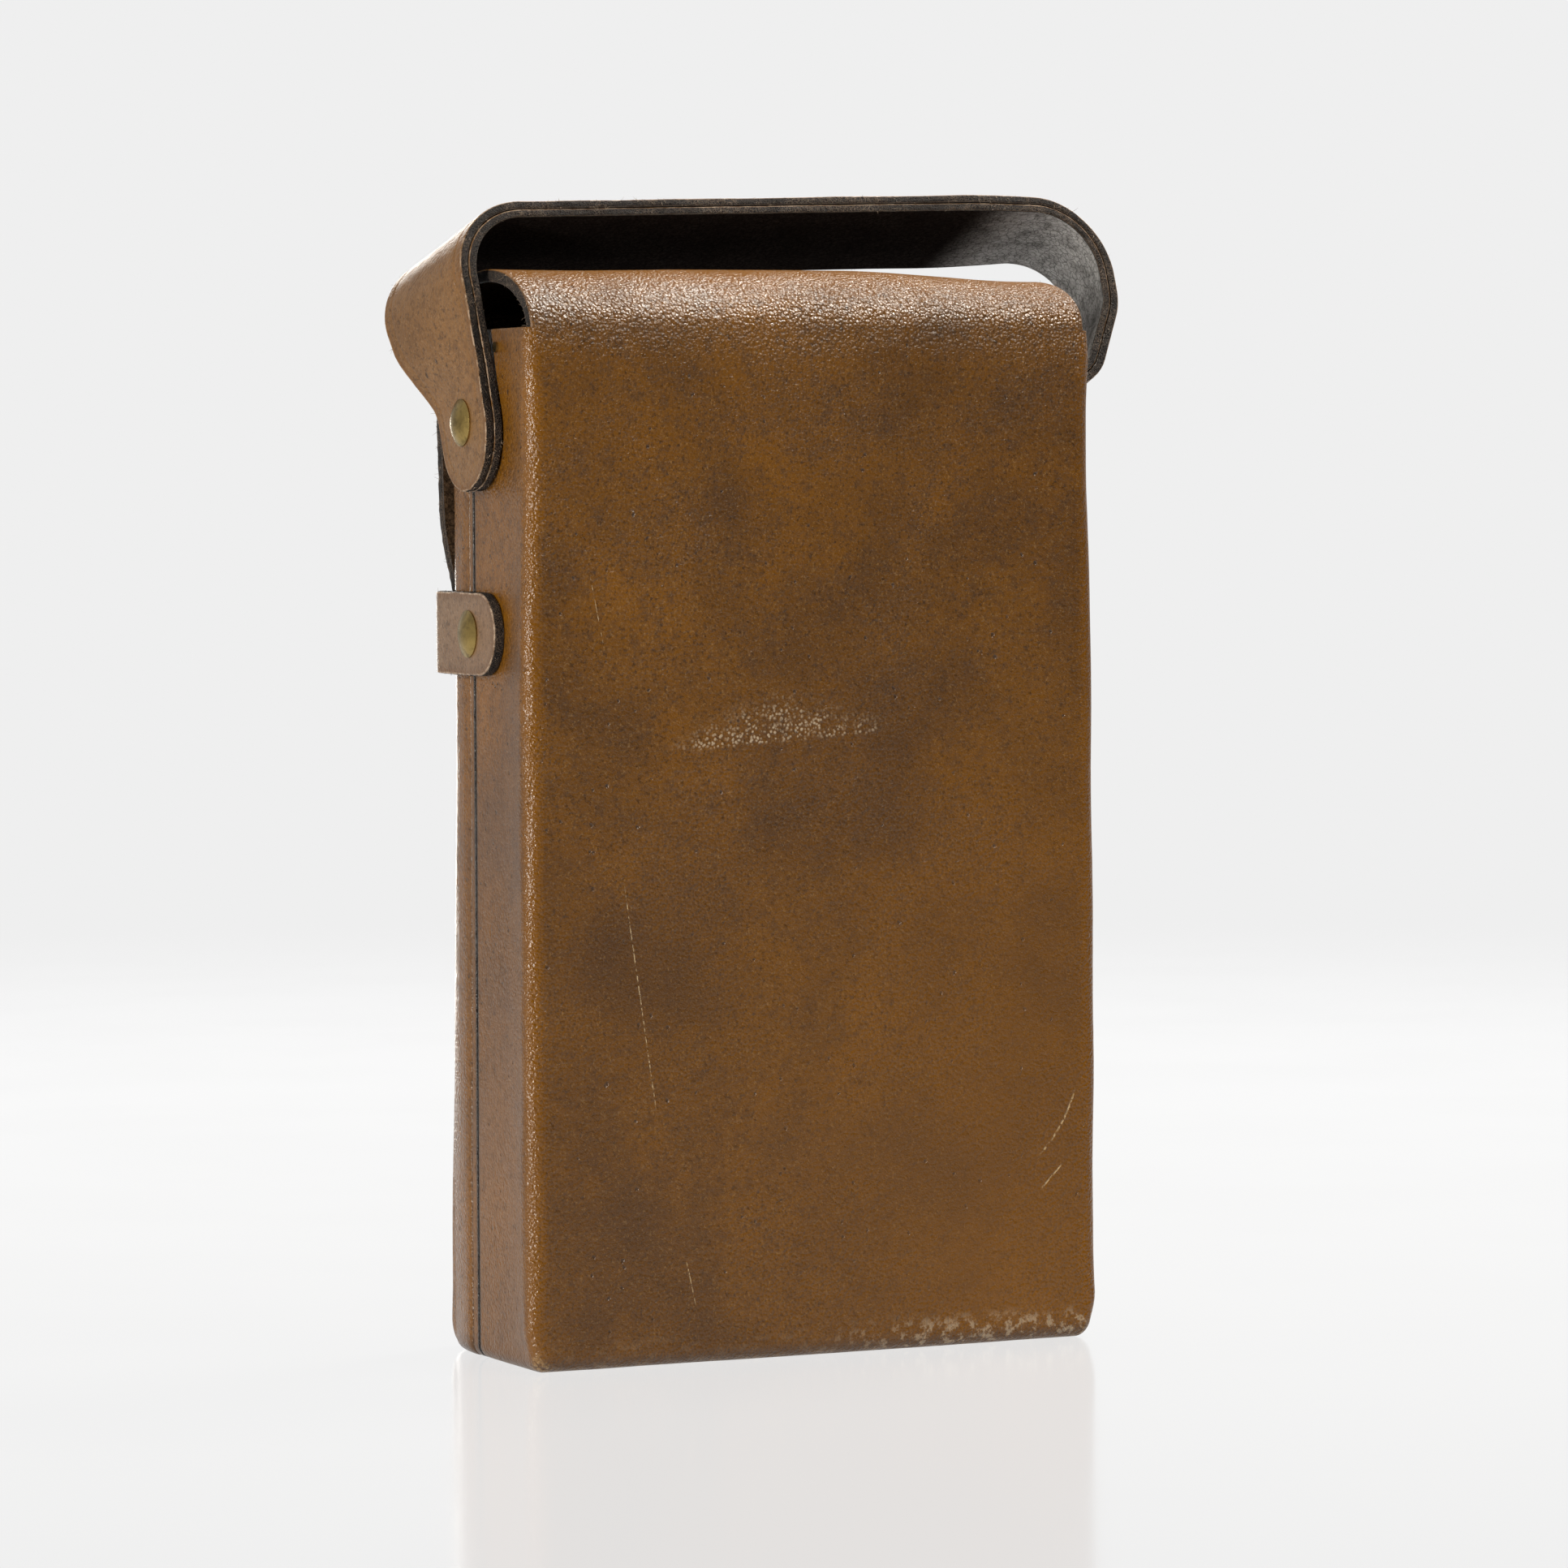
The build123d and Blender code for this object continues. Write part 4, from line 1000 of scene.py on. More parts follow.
def scratch(s, place, start, end, width, bow=0.0):
    """A thin light scratch between two points (x, z) of the back panel."""
    sx, sz = start
    ex, ez = end
    length = math.hypot(ex - sx, ez - sz)
    ux, uz = (ex - sx) / length, (ez - sz) / length
    away = s.vmath("SUBTRACT", place, (sx * MM, 0.0, sz * MM))
    along_it = s.vmath("DOT_PRODUCT", away, (ux, 0.0, uz))
    off = s.vmath("DOT_PRODUCT", away, (-uz, 0.0, ux))
    if bow:
        arc = s.mul(along_it, s.sub(length * MM, along_it))
        off = s.sub(off, s.mul(arc, bow / (length * length * MM) * 4))
    line = s.range(s.math("ABSOLUTE", off), width * MM, 0.2 * width * MM, 0.0, 1.0)
    first = s.range(along_it, 0.0, 0.15 * length * MM)
    last = s.range(along_it, length * MM, 0.8 * length * MM)
    broken = s.range(s.noise(place, 900.0, 3.0, 0.6), 0.42, 0.6)
    mask = s.mul(s.mul(line, first), s.mul(last, broken))
    back_side = s.range(s.axes(place)[1], (BACK - 1.5) * MM, (BACK - 1.0) * MM)
    return s.mul(mask, back_side)


def back_marks_over(s, place, grain_place, colour, height, marks, dark, warm):
    """The back panel's marks: a crescent scuff, a rubbed foot, a painted pool of warm light low on the
    panel, scratches.
    """
    cx, cz = marks["crescent"]
    away = s.vmath("SUBTRACT", place, (cx * MM, 0.0, cz * MM))
    parts = s.axes(away)
    bow = s.add(parts[2], s.mul(parts[0], 0.07))
    across_it = s.sub(1.0, s.math("DIVIDE", s.math("ABSOLUTE", parts[0]), 0.024), clamp=True)
    reach = s.mul(s.math("POWER", across_it, 0.6), 0.0105)
    inside = s.mul(s.range(bow, -0.0012, -0.0004), s.range(s.sub(reach, bow), 0.0, 0.0075))
    top_of_grain = s.range(s.sub(1.0, s.gaps(grain_place, 1500.0)), 0.45, 0.75)
    patchy = s.range(s.noise(place, 350.0, 4.0, 0.6), 0.34, 0.6)
    back_side = s.range(s.axes(place)[1], (BACK - 1.5) * MM, (BACK - 1.0) * MM)
    scuff = s.mul(s.mul(inside, top_of_grain), s.mul(patchy, back_side))
    colour = s.mix(s.mul(scuff, 0.75), colour, srgb(196, 176, 148))
    low_parts = s.axes(place)
    # painted light: the lower part of the back, most towards -x, is tinted warmer as if lit from low at
    # that side
    painted_warm_light = s.mul(s.range(low_parts[2], 0.17, 0.03), s.range(low_parts[0], 0.03, -0.05, 0.3, 1.0))
    colour = s.mix(s.mul(painted_warm_light, 0.5), colour, warm)
    far_side = s.range(low_parts[0], 0.005, -0.030, 0.12, 1.0)
    low_band = s.mul(s.range(low_parts[2], 0.0075, 0.0035), far_side)
    rubbed = s.range(s.noise(place, 520.0, 5.0, 0.7), 0.50, 0.62)
    foot = s.mul(s.mul(low_band, rubbed), back_side)
    under = s.range(low_parts[2], 0.0045, 0.0005, 0.0, 0.65)
    colour = s.mix(under, colour, tuple(0.5 * c for c in dark))
    colour = s.mix(s.mul(foot, 0.55), colour, srgb(190, 168, 138))
    for line in marks["scratches"]:
        cut = scratch(s, place, *line)
        colour = s.mix(s.mul(cut, 0.8), colour, srgb(205, 176, 130))
        height = s.sub(height, s.mul(cut, 0.7))
    return colour, height


def leather(name, tones, rough, gloss=0.4, grain=1.0, mottle=1.0, burnish_and_highlight=0.5, marks=None, flesh=None):
    """Vegetable-tanned leather with a printed grain, dark pores, fibrous cut edges and wear."""
    dark, base, warm, pale = tones
    flesh = flesh or srgb(52, 44, 38)
    s = Shader(name)
    place = s.attribute("rest", vector=True)
    layer, edge = s.attribute("layer"), s.attribute("edge")
    wear, fold, polish = s.attribute("wear"), s.attribute("fold"), s.attribute("polish")
    slow = s.noise(place, 16.0, 5.0, 0.5, 0.4)
    patch = s.noise(place, 60.0, 6.0, 0.6, 0.3)
    fine = s.noise(place, 420.0, 5.0, 0.65)
    speck = s.noise(place, 2100.0, 3.0, 0.6)
    tone = s.add(s.mul(slow, 0.55), s.mul(patch, 0.45))
    colour = s.mix(s.range(tone, 0.30, 0.58), dark, base)
    warmth = s.range(s.noise(place, 20.0, 4.0, 0.55, 0.5), 0.42, 0.76, 0.0, 0.6)
    colour = s.mix(s.mul(warmth, mottle), colour, warm)
    colour = s.mix(s.range(fine, 0.48, 0.68, 0.0, 0.55), colour, dark)
    colour = s.mix(s.range(speck, 0.54, 0.74, 0.0, 0.24), colour, pale)
    grime = s.noise(place, 1250.0, 4.0, 0.7)
    colour = s.mix(s.range(grime, 0.50, 0.30, 0.0, 0.75), colour, tuple(0.45 * c for c in dark))
    # pores: a few dark, a few pale
    pore = s.cells(s.shaken(place, 300.0, 0.002), 330.0)
    chosen = s.pick(pore.outputs["Color"], 0, 0.55, 0.75)
    pore_dot = s.mul(s.range(pore.outputs["Distance"], 0.15, 0.05), chosen)
    colour = s.mix(s.mul(pore_dot, 0.75), colour, srgb(38, 24, 14))
    light_fleck = s.cells(place, 190.0)
    fleck_pick = s.pick(light_fleck.outputs["Color"], 1, 0.93, 0.95)
    fleck = s.mul(s.range(light_fleck.outputs["Distance"], 0.05, 0.02), fleck_pick)
    colour = s.mix(s.mul(fleck, 0.7), colour, srgb(205, 180, 140))
    # worn edges go orange, then pale on their crowns
    worn_noise = s.range(s.noise(place, 260.0, 5.0, 0.65), 0.36, 0.66)
    colour = s.mix(s.mul(s.range(wear, 0.05, 0.6), 0.55), colour, warm)
    crown = s.mul(s.range(wear, 0.62, 1.0), worn_noise)
    # pebble grain
    grain_place = s.shaken(place, 900.0, 0.0005)
    pebble = s.gaps(grain_place, 1500.0)
    small = s.gaps(grain_place, 3600.0)
    big = s.noise(place, 650.0, 3.0, 0.6)
    creases = s.noise(s.stretch(place, (0.35, 1.0, 1.0)), 1500.0, 3.0, 0.55, 0.4)
    pebble_height = s.sub(1.0, s.math("POWER", pebble, 1.6))
    uneven = s.range(s.noise(place, 32.0, 2.0, 0.5), 0.35, 0.65, 0.4, 1.0)
    grain_mask = s.add(uneven, s.mul(s.add(wear, fold), 0.9))
    height = s.mul(s.mul(pebble_height, 1.25), grain_mask)
    height = s.add(height, s.mul(small, -0.35))
    height = s.add(height, s.mul(big, 0.9))
    height = s.add(height, s.mul(s.mul(creases, fold), 1.6))
    height = s.sub(height, s.mul(pore_dot, 1.4))
    if marks:
        colour, height = back_marks_over(s, place, grain_place, colour, height, marks, dark, warm)
    top = s.range(s.gaps(grain_place, 1500.0), 0.75, 0.4)
    colour = s.mix(s.mul(s.mul(crown, top), 0.55), colour, pale)
    # burnished dark band beside a cut edge, with a thin pale line on the corner itself that is partly
    # rubbed grain and partly a painted highlight
    colour = s.mix(s.range(edge, 1.8, 0.3, 0.0, burnish_and_highlight), colour, dark)
    pale_edge_highlight = s.mul(s.range(edge, 0.32, 0.05), s.range(s.noise(place, 500.0, 3.0, 0.6), 0.4, 0.62))
    colour = s.mix(s.mul(pale_edge_highlight, burnish_and_highlight), colour, srgb(190, 165, 140))
    seam = s.attribute("seam")
    colour = s.mix(s.mul(seam, 0.95), colour, srgb(14, 10, 7))
    # the fibrous cut edge and the flesh side
    is_cut = s.mul(s.range(layer, 0.03, 0.16), s.range(layer, 0.97, 0.84))
    strands = s.noise(place, 1900.0, 5.0, 0.75, 1.2)
    hairs = s.gaps(s.shaken(place, 1200.0, 0.0012, 3.0, 0.6), 1900.0, "DISTANCE_TO_EDGE")
    cut_colour = s.mix(s.range(strands, 0.42, 0.66), srgb(16, 11, 8), srgb(62, 46, 34))
    cut_colour = s.mix(s.range(hairs, 0.07, 0.02, 0.0, 0.6), cut_colour, srgb(140, 118, 98))
    soot = s.range(s.noise(place, 160.0, 3.0), 0.42, 0.6, 0.0, 0.75)
    cut_colour = s.mix(soot, cut_colour, srgb(20, 13, 9))
    cut_colour = s.mix(s.mul(seam, 0.9), cut_colour, srgb(9, 7, 6))
    is_flesh = s.range(layer, 0.84, 0.97)
    nap = s.noise(place, 1500.0, 5.0, 0.7, 0.6)
    flesh_colour = s.mix(s.range(nap, 0.35, 0.65), tuple(0.45 * c for c in flesh), flesh)
    colour = s.mix(is_cut, colour, cut_colour)
    colour = s.mix(is_flesh, colour, flesh_colour)
    edge_height = s.add(s.mul(strands, 4.0), s.mul(hairs, -9.0))
    height = s.add(height, s.mul(is_cut, edge_height))
    height = s.add(height, s.mul(is_flesh, s.mul(nap, 1.6)))
    roughness = s.add(rough, s.mul(s.sub(fine, 0.5), 0.35))
    roughness = s.add(roughness, s.mul(polish, -0.11))
    roughness = s.add(roughness, s.mul(is_cut, 0.42))
    roughness = s.add(roughness, s.mul(is_flesh, 0.12), clamp=True)
    return s.done(colour, roughness, height, 0.00014 * grain, Specular_IOR_Level=gloss)


def flesh_side(name, base, pale):
    """The napped inner side of leather, with a painted pale grey sheen in places."""
    s = Shader(name)
    place = s.attribute("rest", vector=True)
    nap = s.noise(place, 1500.0, 5.0, 0.7, 0.6)
    cloud = s.noise(place, 120.0, 5.0, 0.6)
    crack = s.cells(s.shaken(place, 700.0, 0.0012, 3.0), 800.0, "DISTANCE_TO_EDGE")
    colour = s.mix(s.range(nap, 0.38, 0.68), base, pale)
    colour = s.mix(s.range(cloud, 0.4, 0.68, 0.0, 0.6), colour, base)
    # painted sheen: where the worn mask is set, the nap is painted pale grey, standing in for a
    # reflection
    rubbed = s.mul(s.attribute("worn"), s.range(s.noise(place, 260.0, 5.0, 0.65), 0.3, 0.6, 0.5, 1.0))
    colour = s.mix(rubbed, colour, s.mix(nap, srgb(100, 98, 97), srgb(205, 203, 200)))
    lines = s.range(crack.outputs["Distance"], 0.08, 0.02)
    colour = s.mix(s.mul(lines, 0.5), colour, tuple(0.4 * c for c in base))
    height = s.sub(s.mul(nap, 1.4), s.mul(lines, 0.7))
    return s.done(colour, s.range(cloud, 0.3, 0.7, 0.55, 0.7), height, 0.0001, Specular_IOR_Level=0.0)


def metal(name, base, dirt, rough=0.32, brushed=0.0, tarnish=0.5, attribute=False):
    """Aged metal with tarnish in its hollows, fine scratches and softened polish."""
    s = Shader(name)
    place = s.object_place()
    cloud = s.noise(place, 330.0, 6.0, 0.65, 0.6)
    fine = s.noise(s.stretch(place, (1.0, 1.0, 0.12)), 5200.0, 3.0, 0.6)
    spots = s.gaps(place, 900.0)
    colour = s.mix(s.range(cloud, 0.42, 0.68, 0.0, tarnish), base, dirt)
    colour = s.mix(s.range(spots, 0.16, 0.05, 0.0, 0.45), colour, tuple(0.35 * c for c in dirt))
    roughness = s.add(rough, s.mul(s.sub(cloud, 0.45), 0.7))
    roughness = s.add(roughness, s.mul(fine, 0.08 + brushed), clamp=True)
    height = s.add(s.mul(fine, 0.35 + 2 * brushed), s.mul(cloud, 1.0))
    return s.done(colour, roughness, height, 0.00003, Metallic=1.0)


def moulded(name, base, streak, rough=0.3, swirl=40.0):
    """Bakelite: a dark moulded body with faint swirls, a moulding skin and specks of pale dust."""
    s = Shader(name)
    place = s.object_place()
    cloud = s.noise(place, swirl, 5.0, 0.6, 1.6)
    fine = s.noise(place, 1800.0, 4.0, 0.6)
    dust = s.gaps(place, 700.0)
    colour = s.mix(s.range(cloud, 0.42, 0.62, 0.0, 0.8), base, streak)
    colour = s.mix(s.range(dust, 0.1, 0.03, 0.0, 0.35), colour, srgb(150, 140, 125))
    roughness = s.add(rough, s.mul(fine, 0.22), clamp=True)
    return s.done(colour, roughness, s.add(fine, s.mul(cloud, 2.0)), 0.00002,
                  Coat_Weight=0.15, Coat_Roughness=0.25)


def paint(name, base, worn, rough=0.45):
    """Baked enamel with a slight orange peel and small chips."""
    s = Shader(name)
    place = s.object_place()
    peel = s.noise(place, 1400.0, 2.0, 0.5)
    cloud = s.noise(place, 210.0, 5.0, 0.65)
    colour = s.mix(s.range(cloud, 0.40, 0.70, 0.0, 0.35), base, worn)
    chip = s.cells(place, 420.0)
    picked = s.pick(chip.outputs["Color"], 0, 0.93, 0.96)
    chipped = s.mul(s.range(chip.outputs["Distance"], 0.12, 0.08), picked)
    colour = s.mix(chipped, colour, srgb(120, 112, 100))
    roughness = s.add(rough, s.mul(cloud, 0.15), clamp=True)
    return s.done(colour, roughness, s.sub(peel, chipped), 0.00002)


def glass(name, ribbed=False):
    """Slightly green clear glass with dust and fine wipe marks."""
    s = Shader(name)
    place = s.object_place()
    wipe = s.noise(s.stretch(place, (1.0, 1.0, 0.2)), 900.0, 4.0, 0.6)
    smudge = s.noise(place, 90.0, 5.0, 0.6)
    roughness = s.range(s.add(wipe, smudge), 0.8, 1.4, 0.02, 0.16)
    tint = s.mix(s.range(smudge, 0.4, 0.7), (0.90, 0.96, 0.93), (0.84, 0.90, 0.86))
    height = wipe
    if ribbed:
        lens = s.gaps(s.stretch(place, (1.0, 0.0, 1.0)), 230.0, random=0.0)
        height = s.add(wipe, s.mul(lens, -18.0))
    return s.done(tint, roughness, height, 0.00002, Transmission_Weight=1.0, IOR=1.5)


def woven(name, base, shade):
    """Thin cotton lining with a plain weave."""
    s = Shader(name)
    place = s.attribute("rest", vector=True)
    parts = s.axes(place)
    pitch = 2 * math.pi / 0.00055
    flat = s.add(parts[0], parts[1])
    weft = s.math("SINE", s.mul(flat, pitch))
    warp = s.math("SINE", s.mul(parts[2], pitch))
    weave = s.mul(weft, warp)
    slub = s.noise(s.stretch(place, (1.0, 1.0, 0.1)), 700.0, 3.0, 0.6)
    dirt = s.noise(place, 60.0, 5.0, 0.6)
    colour = s.mix(s.range(weave, -1.0, 1.0, 0.0, 0.7), shade, base)
    colour = s.mix(s.range(slub, 0.45, 0.7, 0.0, 0.4), colour, shade)
    colour = s.mix(s.range(dirt, 0.45, 0.7, 0.0, 0.5), colour, tuple(0.6 * c for c in shade))
    return s.done(colour, 0.92, s.add(weave, s.mul(slub, 1.5)), 0.00008,
                  Sheen_Weight=0.25, Sheen_Roughness=0.5)


def crystalline(name):
    """The selenium layer: dark grey, finely crystalline, with a blue and violet lacquer."""
    s = Shader(name)
    place = s.object_place()
    grain = s.cells(place, 2600.0).outputs["Color"]
    cloud = s.noise(place, 70.0, 4.0, 0.6, 0.8)
    value = s.node("SeparateColor", {0: grain}).outputs[0]
    colour = s.mix(value, srgb(38, 40, 52), srgb(70, 72, 86))
    colour = s.mix(s.range(cloud, 0.4, 0.65, 0.0, 0.6), colour, srgb(48, 40, 70))
    return s.done(colour, s.range(cloud, 0.3, 0.7, 0.22, 0.4), value, 0.00002, Metallic=0.6)


def wound(name):
    """Fine enamelled copper wire, wound in layers."""
    s = Shader(name)
    place = s.object_place()
    parts = s.axes(place)
    turns_wave = s.math("SINE", s.mul(parts[1], 2 * math.pi / 0.00016))
    cloud = s.noise(place, 400.0, 4.0, 0.6)
    colour = s.mix(s.range(turns_wave, -1.0, 1.0), srgb(96, 42, 22), srgb(196, 112, 66))
    colour = s.mix(s.range(cloud, 0.4, 0.7, 0.0, 0.4), colour, srgb(80, 36, 22))
    return s.done(colour, s.range(cloud, 0.3, 0.7, 0.25, 0.4), turns_wave, 0.00003, Metallic=0.8)


def laminate(name):
    """Brown phenolic board with a fine paper weave."""
    s = Shader(name)
    place = s.object_place()
    weave = s.noise(s.stretch(place, (1.0, 1.0, 0.15)), 2600.0, 3.0, 0.6)
    cloud = s.noise(place, 130.0, 4.0, 0.6)
    colour = s.mix(s.range(weave, 0.4, 0.65), srgb(86, 48, 22), srgb(128, 78, 38))
    colour = s.mix(s.range(cloud, 0.4, 0.7, 0.0, 0.4), colour, srgb(70, 38, 20))
    return s.done(colour, s.range(cloud, 0.3, 0.7, 0.35, 0.5), weave, 0.00002)


def banded(name):
    """A resistor's lacquered body with plain colour rings."""
    s = Shader(name)
    place = s.object_place()
    parts = s.axes(place)
    low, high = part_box("resistors")
    share = s.range(parts[0], low[0], high[0], 0.0, 1.0, "LINEAR")
    cloud = s.noise(place, 900.0, 4.0, 0.6)
    colour = s.mix(s.range(cloud, 0.35, 0.7), srgb(150, 118, 78), srgb(176, 146, 104))
    rings = {0.22: (96, 40, 24), 0.38: (20, 18, 18), 0.54: (176, 60, 28), 0.80: (170, 132, 52)}
    for at, ring in rings.items():
        band = s.mul(s.range(share, at - 0.045, at - 0.03), s.range(share, at + 0.045, at + 0.03))
        colour = s.mix(band, colour, srgb(*ring))
    return s.done(colour, s.range(cloud, 0.3, 0.7, 0.3, 0.45), cloud, 0.00002)


def fibre_stuff(name):
    """Loose leather fibres, brown at the root and pale at the tip."""
    s = Shader(name)
    place = s.attribute("rest", vector=True)
    cloud = s.noise(place, 700.0, 3.0, 0.6)
    colour = s.mix(s.range(cloud, 0.4, 0.6), srgb(70, 52, 40), srgb(168, 146, 124))
    return s.done(colour, s.range(cloud, 0.3, 0.7, 0.6, 0.8), cloud, 0.00001)


back_marks = {
    "crescent": (8.0, 118.6),
    "scratches": [
        ((40.5, 93.0), (33.5, 45.0), 0.16),
        ((-47.0, 36.0), (-55.5, 50.0), 0.3, 1.2),
        ((-47.5, 29.5), (-52.5, 34.5), 0.25),
        ((47.0, 150.0), (44.0, 135.0), 0.1),
        ((28.0, 20.0), (26.0, 11.0), 0.16),
    ],
}
case_skin = leather(
    "case_leather", (srgb(70, 44, 18), srgb(104, 65, 12), srgb(127, 79, 4), srgb(184, 148, 98)),
    0.33, gloss=0.5, burnish_and_highlight=0.12, marks=back_marks, flesh=srgb(48, 38, 30))
strap_skin = leather(
    "strap_leather", (srgb(82, 56, 32), srgb(116, 84, 50), srgb(130, 86, 34), srgb(180, 150, 112)),
    0.40, gloss=0.35, grain=0.8, mottle=0.8, flesh=srgb(24, 21, 20))
keeper_skin = leather(
    "keeper_leather", (srgb(86, 64, 46), srgb(118, 94, 72), srgb(124, 88, 54), srgb(184, 158, 130)),
    0.38, grain=0.6, mottle=0.6, flesh=srgb(44, 36, 30))
case_flesh = flesh_side("case_flesh", srgb(50, 38, 28), srgb(92, 72, 54))
strap_flesh = flesh_side("strap_flesh", srgb(24, 21, 20), srgb(44, 40, 38))
brass = metal("aged_brass", srgb(168, 142, 84), srgb(88, 74, 44), 0.24, tarnish=0.7)
nickel = metal("nickel_screw", srgb(176, 172, 164), srgb(110, 104, 96), 0.28, brushed=0.1)
bezel = metal("bezel_metal", srgb(168, 166, 160), srgb(96, 92, 86), 0.3, brushed=0.2)
iron = metal("soft_iron", srgb(118, 116, 114), srgb(74, 62, 54), 0.4, brushed=0.15)
magnet_stuff = metal("magnet_iron", srgb(84, 82, 82), srgb(50, 44, 40), 0.55, tarnish=0.7)
dial_metal = metal(
    "dial_metal", srgb(196, 194, 188), srgb(140, 136, 128), 0.35, brushed=0.25, tarnish=0.3)
black_moulding = moulded("bakelite", srgb(26, 20, 17), srgb(52, 34, 24))
dial_enamel = paint("dial_paint", srgb(30, 30, 31), srgb(52, 50, 48))
plate_enamel = paint("scale_paint", srgb(222, 214, 190), srgb(196, 182, 148))
pointer_enamel = paint("pointer_paint", srgb(150, 26, 18), srgb(104, 22, 16))
clear = glass("clear_glass")
lens_glass = glass("lens_glass", ribbed=True)
cotton = woven("lining_cloth", srgb(112, 40, 34), srgb(66, 22, 20))
cell_stuff = crystalline("selenium_plate")
copper = wound("coil_copper")
board = laminate("phenolic_board")
rings_stuff = banded("resistor_body")
fibre = fibre_stuff("leather_fibres")

by_node = {
    "wall_pins": brass, "keeper_rivets": brass, "keeper_burrs": brass, "handle_rivets": brass,
    "handle_burrs": brass, "contact_ring": brass, "rear_bridge": brass, "front_bridge": brass,
    "jewel_screws": brass, "hairsprings": brass, "zero_adjuster": brass,
    "housing_rear": black_moulding, "housing_front": black_moulding, "cell_holder": black_moulding,
    "range_knob": black_moulding,
    "housing_screws": nickel, "bezel_screws": nickel, "dial_screw": nickel, "board_screws": nickel,
    "cell_bezel": bezel, "read_button": bezel,
    "cell_lens": lens_glass, "meter_window": clear, "selenium_cell": cell_stuff,
    "magnet": magnet_stuff, "pole_shoes": iron, "iron_core": iron, "coil_staffs": iron,
    "scale_plate": plate_enamel, "calculator_base": dial_enamel,
    "exposure_dial": dial_metal, "film_speed_dial": dial_metal,
    "moving_coil": copper, "pointer": pointer_enamel,
    "range_switch": board, "resistor_board": board, "resistors": rings_stuff,
}
for node, material in by_node.items():
    mesh = frame["nodes"][node].data
    mesh.materials.clear()
    mesh.materials.append(material)


def finish_piece(obj, material, slot_name, body, *nodes, inside=None):
    """Gives a piece its materials and its body, and hides the CAD nodes that it stands for. slot_name
    is not used.
    """
    obj.data.materials.append(material)
    if inside:
        obj.data.materials.append(inside)
    if nodes:
        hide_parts(*nodes)
    if body:
        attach(obj, body)
    return obj


finish_piece(back_leather, case_skin, "case_leather", "case", "back_shell", inside=case_flesh)
finish_piece(tray_leather, case_skin, "case_leather", "case", "front_tray", inside=case_flesh)
finish_piece(lid_leather, case_skin, "case_leather", None, "lid_flap", inside=case_flesh)
finish_piece(keeper, keeper_skin, "strap_leather", "case", "keeper_strap", inside=strap_flesh)
finish_piece(inner_ply, strap_skin, "strap_leather", "handle", "handle_inner_ply", inside=strap_flesh)
finish_piece(outer_ply, strap_skin, "strap_leather", "handle", "handle_outer_ply", inside=strap_flesh)
finish_piece(lining, cotton, "lining_cloth", "case", "case_lining", inside=cotton)
finish_piece(spring, nickel, "nickel_screw", "case", "button_spring")
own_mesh(spring)

for source, count, seed, body in (
    (outer_ply, 900, 101, "handle"), (inner_ply, 500, 102, "handle"),
    (keeper, 160, 103, "case"), (lid_leather, 900, 104, None),
):
    places, outwards = rim_of(source)
    name = source.name.replace("_leather", "") + "_fibres"
    cloud = fibres(name, places, outwards, count, seed)
    finish_piece(cloud, fibre, "case_leather" if body is None else "strap_leather", body)
    if body is None:
        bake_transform(cloud)
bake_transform(lid_leather)

# ------------------------------------------------------------------ floor, light and camera


FLOOR_GLOW = 0.70


def make_floor():
    """A pale glossy studio floor that fades into the background."""
    radius, rings_count, sides = 1.6, 24, 96
    points, faces = [(0.0, 0.0, 0.0)], []
    for r in range(1, rings_count + 1):
        for k in range(sides):
            a = 2 * math.pi * k / sides
            reach = radius * (r / rings_count) ** 1.5
            points.append((reach * math.cos(a) * 1000, reach * math.sin(a) * 1000, 0.0))
    for k in range(sides):
        faces.append((0, 1 + k, 1 + (k + 1) % sides))
    for r in range(rings_count - 1):
        for k in range(sides):
            m = (k + 1) % sides
            a, b = 1 + r * sides, 1 + (r + 1) * sides
            faces.append((a + k, b + k, b + m, a + m))
    floor = new_object("floor", points, faces)
    s = Shader("floor_board")
    place = s.object_place()
    haze = s.noise(place, 14.0, 3.0, 0.5)
    s.set(Base_Color=s.mix(haze, (0.035, 0.035, 0.035), (0.04, 0.04, 0.04)),
          Roughness=s.range(haze, 0.3, 0.7, 0.12, 0.15), Specular_IOR_Level=0.08,
          Emission_Color=(1.0, 1.0, 1.0), Emission_Strength=FLOOR_GLOW)
    clear_node = s.node("BsdfTransparent")
    mix_node = s.node("MixShader")
    fade_share = s.range(s.vmath("LENGTH", place), 0.5, 1.25)
    s.put(mix_node.inputs[0], fade_share)
    s.put(mix_node.inputs[1], s.bsdf.outputs[0])
    s.put(mix_node.inputs[2], clear_node.outputs[0])
    s.tree.links.new(mix_node.outputs[0], s.output.inputs[0])
    floor.data.materials.append(s.material)
    return floor


floor = make_floor()

BACKGROUND = srgb(239, 239, 239)


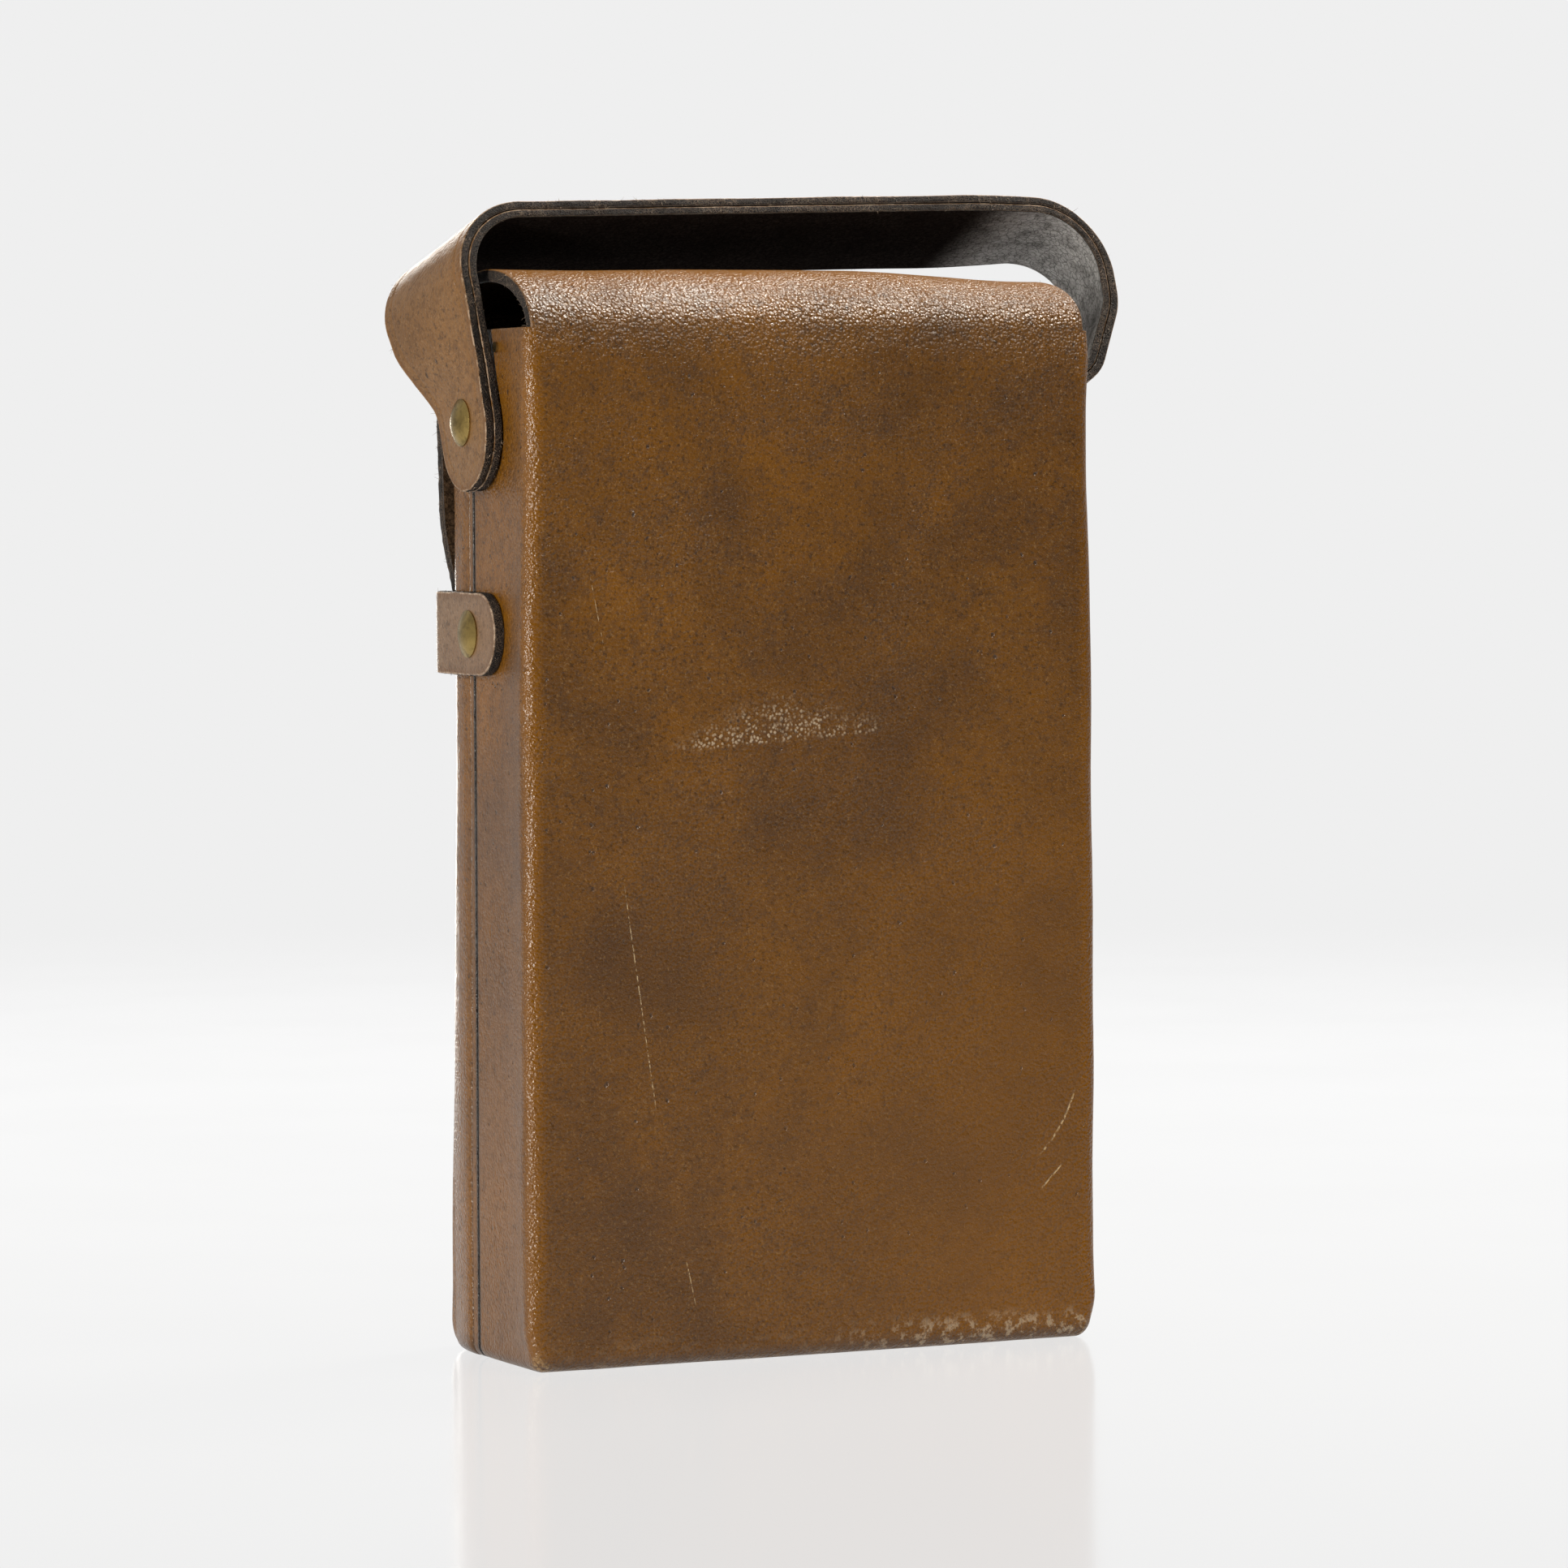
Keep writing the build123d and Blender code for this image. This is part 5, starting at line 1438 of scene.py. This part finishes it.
def make_world():
    """The backdrop, and a studio that is bright behind the object and dim in front of it."""
    world = bpy.data.worlds.new("studio")
    scene.world = world
    world.use_nodes = True
    tree = world.node_tree
    tree.nodes.clear()
    output = tree.nodes.new("ShaderNodeOutputWorld")
    kinds = "Background", "Background", "MixShader", "LightPath", "TexCoord", "SeparateXYZ", "MapRange"
    seen, cast, both, path, coords, parts, ramp = (tree.nodes.new("ShaderNode" + k) for k in kinds)
    ramp.interpolation_type = "SMOOTHSTEP"
    for index, value in ((1, 0.75), (2, -0.6), (3, STUDIO_DIM), (4, STUDIO_BRIGHT)):
        ramp.inputs[index].default_value = value
    seen.inputs[0].default_value = (*BACKGROUND, 1.0)
    cast.inputs[0].default_value = (1.0, 1.0, 1.0, 1.0)
    links = tree.links
    links.new(coords.outputs["Generated"], parts.inputs[0])
    links.new(parts.outputs[1], ramp.inputs[0])
    links.new(ramp.outputs[0], cast.inputs[1])
    links.new(path.outputs["Is Camera Ray"], both.inputs[0])
    links.new(cast.outputs[0], both.inputs[1])
    links.new(seen.outputs[0], both.inputs[2])
    links.new(both.outputs[0], output.inputs[0])


STUDIO_DIM, STUDIO_BRIGHT = 0.05, 0.5
make_world()


LAMP_TINT = (1.0, 0.97, 0.9)


def soft_box(name, azimuth, elevation, distance, size, power, aim=(0.0, 0.0, 0.1), not_on=None):
    """A square area light, placed round the object as a camera view is. It skips the object not_on."""
    a, e = math.radians(azimuth), math.radians(elevation)
    way = Vector((math.sin(a) * math.cos(e), -math.cos(a) * math.cos(e), math.sin(e)))
    lamp = bpy.data.lights.new(name, "AREA")
    lamp.shape = "RECTANGLE"
    lamp.size, lamp.size_y = size
    lamp.energy = power
    lamp.color = LAMP_TINT
    obj = bpy.data.objects.new(name, lamp)
    obj.location = Vector(aim) + way * distance
    obj.rotation_euler = (-way).to_track_quat("-Z", "Y").to_euler()
    scene.collection.objects.link(obj)
    if not_on:
        obj.light_linking.receiver_collection = bpy.data.collections.new(name + "_off")
        obj.light_linking.receiver_collection.objects.link(not_on)
        obj.light_linking.receiver_collection.collection_objects[0].light_linking.link_state = "EXCLUDE"
    return obj


soft_box("key", 116, 6, 1.3, (0.18, 1.0), 20.0, not_on=floor)
soft_box("top", 226, 54, 1.1, (0.8, 0.35), 9.0, aim=(0.0, 0.0, 0.19))
soft_box("rim", 290, 58, 1.1, (0.3, 0.4), 5.0, aim=(0.0, 0.01, 0.2))
soft_box("spark", 292, 58, 0.5, (0.10, 0.10), 2.2, aim=(0.05, 0.012, 0.2))
soft_box("back", -14, 4, 1.6, (0.6, 1.2), 22.0, not_on=floor)

camera_data = bpy.data.cameras.new("camera")
SENSOR, IMAGE_SIDE, FOCAL_LENGTH = 36.0, 1932.0, 7900.0  # mm, pixels, pixels
camera_data.sensor_width = SENSOR
camera_data.lens = FOCAL_LENGTH / IMAGE_SIDE * SENSOR
camera_data.clip_end = 20.0
camera = bpy.data.objects.new("camera", camera_data)
yaw, pitch, roll = 3.5834, -0.046, -0.005
look = Vector((math.sin(yaw) * math.cos(pitch), math.cos(yaw) * math.cos(pitch), math.sin(pitch)))
right = look.cross(Vector((0, 0, 1))).normalized()
above = right.cross(look)
right_rolled = math.cos(roll) * right + math.sin(roll) * above
above_rolled = -math.sin(roll) * right + math.cos(roll) * above
turn = Matrix((right_rolled, above_rolled, -look)).transposed()
camera.matrix_world = Matrix.Translation((0.5273, 1.1202, 0.1657)) @ turn.to_4x4()
scene.collection.objects.link(camera)
scene.camera = camera
scene.view_settings.view_transform = "Standard"

bpy.context.view_layer.update()
